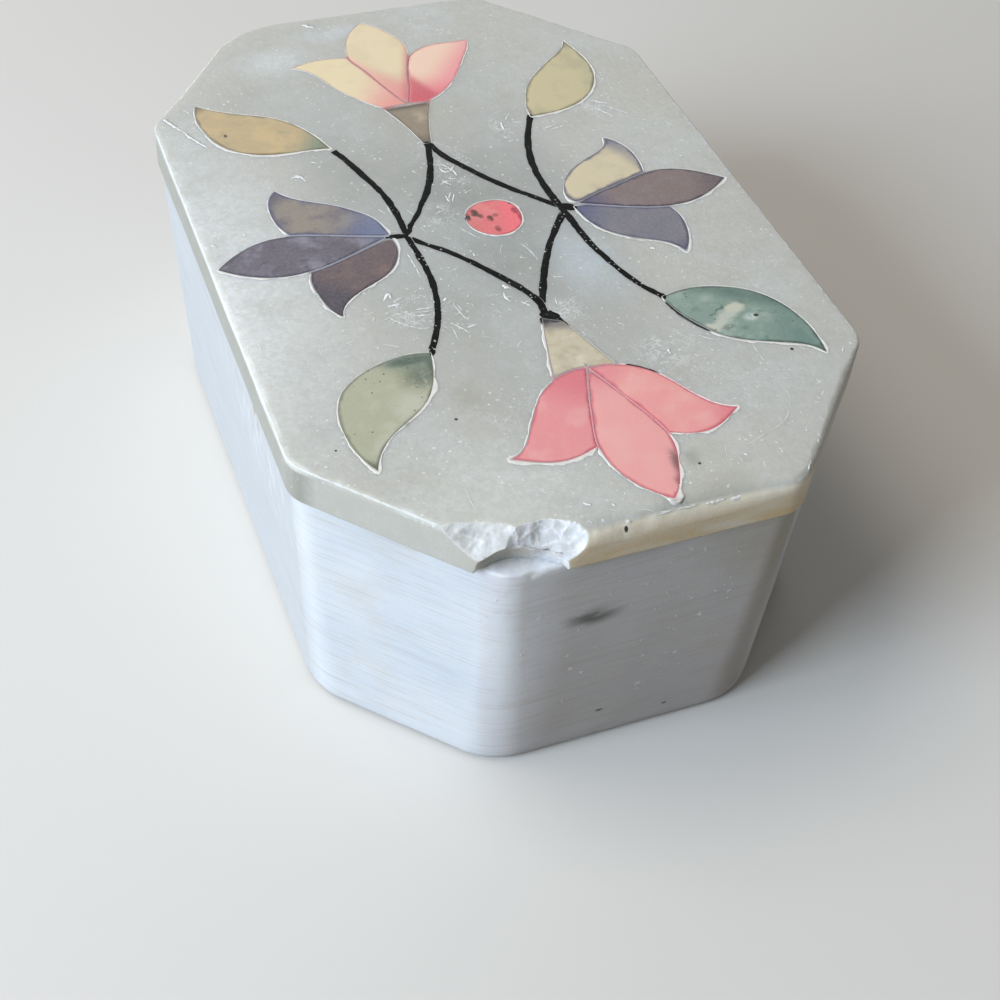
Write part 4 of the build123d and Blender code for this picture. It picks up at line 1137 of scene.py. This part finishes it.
# Black filling where strips of stone meet: name, middle, half length, half width, turn
knots = [("leftKnot", -10.9, 0.75, 1.5, 0.62, -8), ("rightKnot", 10.7, 0.5, 1.2, 0.75, -35),
         ("frontKnot", 0.52, -16.4, 1.75, 0.55, 84), ("leafKnot", -13.7, -19.7, 0.75, 0.5, 62),
         ("backKnot", -1.3, 17.6, 0.75, 0.62, 85), ("farLeafKnot", 13.4, 19.9, 0.6, 0.5, 60),
         ("gapKnot", -9.25, 1.35, 1.0, 0.5, 55), ("calyxKnot", 0.85, -17.7, 1.3, 0.85, -28),
         ("tealKnot", 14.5, -18.3, 0.9, 0.6, -60), ("calyxLine", 1.55, -18.0, 1.5, 0.36, -70)]

stemNames = ["back_left", "back_right", "front_left", "front_right",
             "top_left", "top_right", "low_left", "low_right"]

# Cement round each group: its CAD node, the beads' width in mm and the share of it on
# edges that face back, its colour in joints, its dirt, blobs (x, y, reach, extra width)
# and lines of another colour (colour, from, to, width)
cementLooks = {
    "BackFlower": ("cement_back_flower", {
        "width": 0.14, "back": 0.3, "joint": "#cf6f78", "dirt": "#b9a896",
        "blobs": [(8.9, 36.9, 0.8, 0.35), (2.4, 22.5, 1.2, 0.2)], "lines": []}),
    "FrontFlower": ("cement_front_flower", {
        "width": 0.34, "back": 0.45, "joint": "#e0939a", "dirt": "#8d837b",
        "blobs": [(-2.8, -38.6, 1.3, 0.7), (4.6, -45.0, 0.8, 0.5), (14.4, -37.7, 0.7, 0.35),
                  (2.8, -47.6, 0.7, 0.4), (-11.2, -37.8, 0.6, 0.25)],
        "lines": [("#2c2623", (5.9, -28.0), (8.7, -29.9), 0.8),
                  ("#2a2724", (1.6, -18.9), (3.2, -20.9), 0.6),
                  ("#151413", (-0.9, -18.1), (2.6, -18.7), 1.9),
                  ("#b0b2aa", (2.3, -20.6), (4.6, -27.2), 0.9)]}),
    "LeftFlower": ("cement_left_flower", {
        "width": 0.25, "back": 0.4, "joint": "#a3a6b4", "dirt": "#8b8884",
        "blobs": [(-11.3, 1.2, 1.4, 0.4), (-21.8, -9.3, 0.8, 0.3), (-19.6, -4.0, 0.6, 0.3),
                  (-24.6, 12.0, 0.6, 0.2)],
        "lines": [("#1c1d1c", (-12.6, 0.9), (-10.4, 0.6), 0.5)]}),
    "RightFlower": ("cement_right_flower", {
        "width": 0.26, "back": 0.12, "joint": "#a5a5b2", "dirt": "#9b9793",
        "blobs": [(11.4, 1.6, 1.0, 0.35), (21.0, -11.2, 0.8, 0.35), (17.4, 13.2, 0.7, 0.3)], "lines": []}),
    "Leaves": ("cement_leaves", {
        "width": 0.24, "back": 0.3, "joint": "#c9c7bb", "dirt": "#8f8c7e",
        "blobs": [(15.7, -22.8, 2.4, 0.22), (-15.4, -25.4, 0.9, 0.5), (-24.4, -34.9, 0.7, 0.3),
                  (28.4, -31.6, 0.9, 0.35), (-14.6, 21.0, 0.7, 0.3), (15.0, -19.6, 0.6, 0.3)],
        "lines": [("#171814", (14.3, -19.9), (16.8, -25.0), 1.7),
                  ("#3b3a30", (-26.4, 32.6), (-14.6, 22.3), 0.5)]}),
    "Centre": ("cement_centre", {
        "width": 0.2, "back": 0.5, "joint": "#d9a8a3", "dirt": "#6b615a", "blobs": [(3.4, -0.4, 1.0, 0.15)],
        "lines": [("#4a3c36", (-2.6, 2.4), (-1.7, 1.0), 0.6)]}),
}
cementPaint = {"ground": "#eeece6", "dull": "#d7d4cb"}
# The beads in mm: their foot, how high the crown stands over it, underside and highest point
cementShape = {"top": 38.955, "crown": 0.035, "low": 37.3, "highest": 38.995}

print("lid and box body")
place("boxBody", bodySurface(bodyLook), bodyMarbleMaterial(bodyMarble), "box", ["box_body"], "body_marble")
place("lidSlab", lidSurface(lidLook), lidMarbleMaterial(lidMarble), "lid", ["lid_slab"], "lid_marble")

print("set stones")
rings = {}
for number, (name, (node, slot, look)) in enumerate(stoneLooks.items()):
    ring = evenly(outlinesOf(node, inlayLook["level"])[0], inlayLook["spacing"])
    rings[node] = ring
    ring = ring + inlayLook["fuller"] * outwardOf(ring)
    mesh = stoneSurface(name, ring, inlayLook, 100 + number)
    place(name, mesh, setStoneMaterial(name + "Stone", look), "lid", [node], slot)
black = blackStoneMaterial(blackMarble)
for number, name in enumerate(stemNames):
    node = "stem_" + name
    ring = evenly(outlinesOf(node, inlayLook["level"])[0], inlayLook["spacing"])
    out, stray = inlayLook["ragged"]
    ring = ring + outwardOf(ring) * (out + stray * rough(atZero(ring), 1.3, 260 + number, 3))[:, None]
    title = "stem" + name.title().replace("_", "")
    place(title, stoneSurface(title, ring, inlayLook, 200 + number, 0.8), black, "lid", [node], "black_stone")

for number, (title, x, y, long, wide, turn) in enumerate(knots):
    # Ellipse: the middle plus long * cos t along its own axis and wide * sin t across it
    t = np.linspace(0, 2 * math.pi, 48, endpoint=False)
    u, v = long * np.cos(t), wide * np.sin(t)
    cosine, sine = math.cos(math.radians(turn)), math.sin(math.radians(turn))
    ring = np.stack([x + u * cosine - v * sine, y + u * sine + v * cosine], -1)
    place(title, stoneSurface(title, ring, inlayLook, 240 + number, 0.8), black, "lid", [], "black_stone")

print("scratches")
scratchPaint = {"name": "crushedMarble", "ground": "#f3f5f4", "dull": "#d9dcd8", "joint": "#e6e8e5",
                "dirt": "#c8cac4", "lines": []}
scratches = marksSurface("lidScratches", marksLook, 500)
place("lidScratches", scratches, cementMaterial(scratchPaint), "lid", [], "lid_marble")

print("cement")
for number, (title, (node, look)) in enumerate(cementLooks.items()):
    group = node[len("cement_"):]
    ending = "leaf" if group == "leaves" else group    # the leaves share one fill
    own = [ring for name, ring in rings.items() if name.startswith(group) or name.endswith(ending)]
    mesh = cementSurface("cement" + title, own, {**cementShape, **look}, 300 + 20 * number)
    paint = cementMaterial({**cementPaint, **look, "name": "limeCement" + title})
    place("cement" + title, mesh, paint, "lid", [node], "white_cement")


stageLook = {
    "floor": "#dfddd8",
    "floorCloud": "#dedbd6",
    "floorReach": 2.0,       # half the floor's size in metres
    "bounce": "#8d8478",     # what the floor gives back to the box
    "worldLight": 0.15,
    "worldColour": (1.0, 0.985, 0.965, 1),
    "backdrop": "#aeadaa",
    # Lamps: where they stand in mm, their size in mm, power in watts and colour
    "window": ((-685, -160, 405), 420, 7.4, "#e3f0ff"),
    "ceiling": ((-420, 260, 900), 500, 3.6, "#fff6ea"),
    "room": ((200, 1000, 520), 900, 1.5, "#f6f6fb"),
    "aim": (0, 0, 20),       # the middle of the box, which the lamps face
}


def seenDirectly(tree):
    # 1 on rays from the camera, also past a reflection or glass, and 0 on the others
    rays = add(tree, "LightPath").outputs
    return together(tree, "MAXIMUM", rays["Is Camera Ray"], rays["Is Glossy Ray"],
                    rays["Is Transmission Ray"])


def stageSetting(look):
    reach = look["floorReach"]
    corners = [(-reach, -reach, 0), (reach, -reach, 0), (reach, reach, 0), (-reach, reach, 0)]
    mesh = bpy.data.meshes.new("floor")
    mesh.from_pydata(corners, [], [(0, 1, 2, 3)])
    floor = bpy.data.objects.new("floor", mesh)
    bpy.context.scene.collection.objects.link(floor)
    # Pale to the camera and in reflections, while its light on the box is a wooden table's
    material, tree, shader, at = startMaterial("paleFloor", 0.7, 1.45)
    pale = coats(tree, look["floor"], [(look["floorCloud"], clouds(tree, at, 60, 0.3, 0.7, 1, 3), 0.2)])
    colour = add(tree, "Mix", {0: seenDirectly(tree), 6: linear(look["bounce"]), 7: pale},
                 data_type="RGBA").outputs[2]
    tree.links.new(colour, shader.inputs["Base Color"])
    mesh.materials.append(material)
    for name in ("window", "ceiling", "room"):
        where, size, power, colour = look[name]
        lamp = bpy.data.lights.new(name, "AREA")
        lamp.shape, lamp.size, lamp.energy, lamp.color = "SQUARE", size * mm, power, linear(colour)[:3]
        lampObject = bpy.data.objects.new(name, lamp)
        bpy.context.scene.collection.objects.link(lampObject)
        lampObject.location = Vector(where) * mm
        ray = Vector(look["aim"]) * mm - lampObject.location
        lampObject.rotation_euler = ray.to_track_quat("-Z", "Y").to_euler()
    # The room gives dim warm light, and is pale where the camera sees it past the floor
    world = bpy.data.worlds.new("room")
    world.use_nodes = True
    tree = world.node_tree
    tree.nodes.clear()
    lit = add(tree, "Background", {"Color": look["worldColour"], "Strength": look["worldLight"]}).outputs[0]
    pale = add(tree, "Background", {"Color": linear(look["backdrop"]), "Strength": 1}).outputs[0]
    both = add(tree, "MixShader", {0: seenDirectly(tree), 1: lit, 2: pale}).outputs[0]
    add(tree, "OutputWorld", {0: both})
    bpy.context.scene.world = world
    bpy.context.scene.view_settings.view_transform = "Standard"


cameraLook = {
    "place": (-60.3, -143.8, 154.7),
    "forward": (0.285, 0.6308, -0.7217),
    "right": (0.9328, -0.3558, 0.0574),
    "lens": 58.26,
}


def cameraSetting(look):
    # The camera's axes are right, up = right x forward, and backward
    forward, right = Vector(look["forward"]).normalized(), Vector(look["right"])
    right = (right - forward * right.dot(forward)).normalized()
    up = right.cross(forward)
    camera = bpy.data.cameras.new("camera")
    camera.lens, camera.sensor_width = look["lens"], 36
    camera.clip_start, camera.clip_end = 0.005, 20
    cameraObject = bpy.data.objects.new("camera", camera)
    bpy.context.scene.collection.objects.link(cameraObject)
    turned = Matrix((right, up, -forward)).transposed().to_4x4()
    cameraObject.matrix_world = Matrix.Translation(Vector(look["place"]) * mm) @ turned
    bpy.context.scene.camera = cameraObject


print("stage and camera")
stageSetting(stageLook)
cameraSetting(cameraLook)
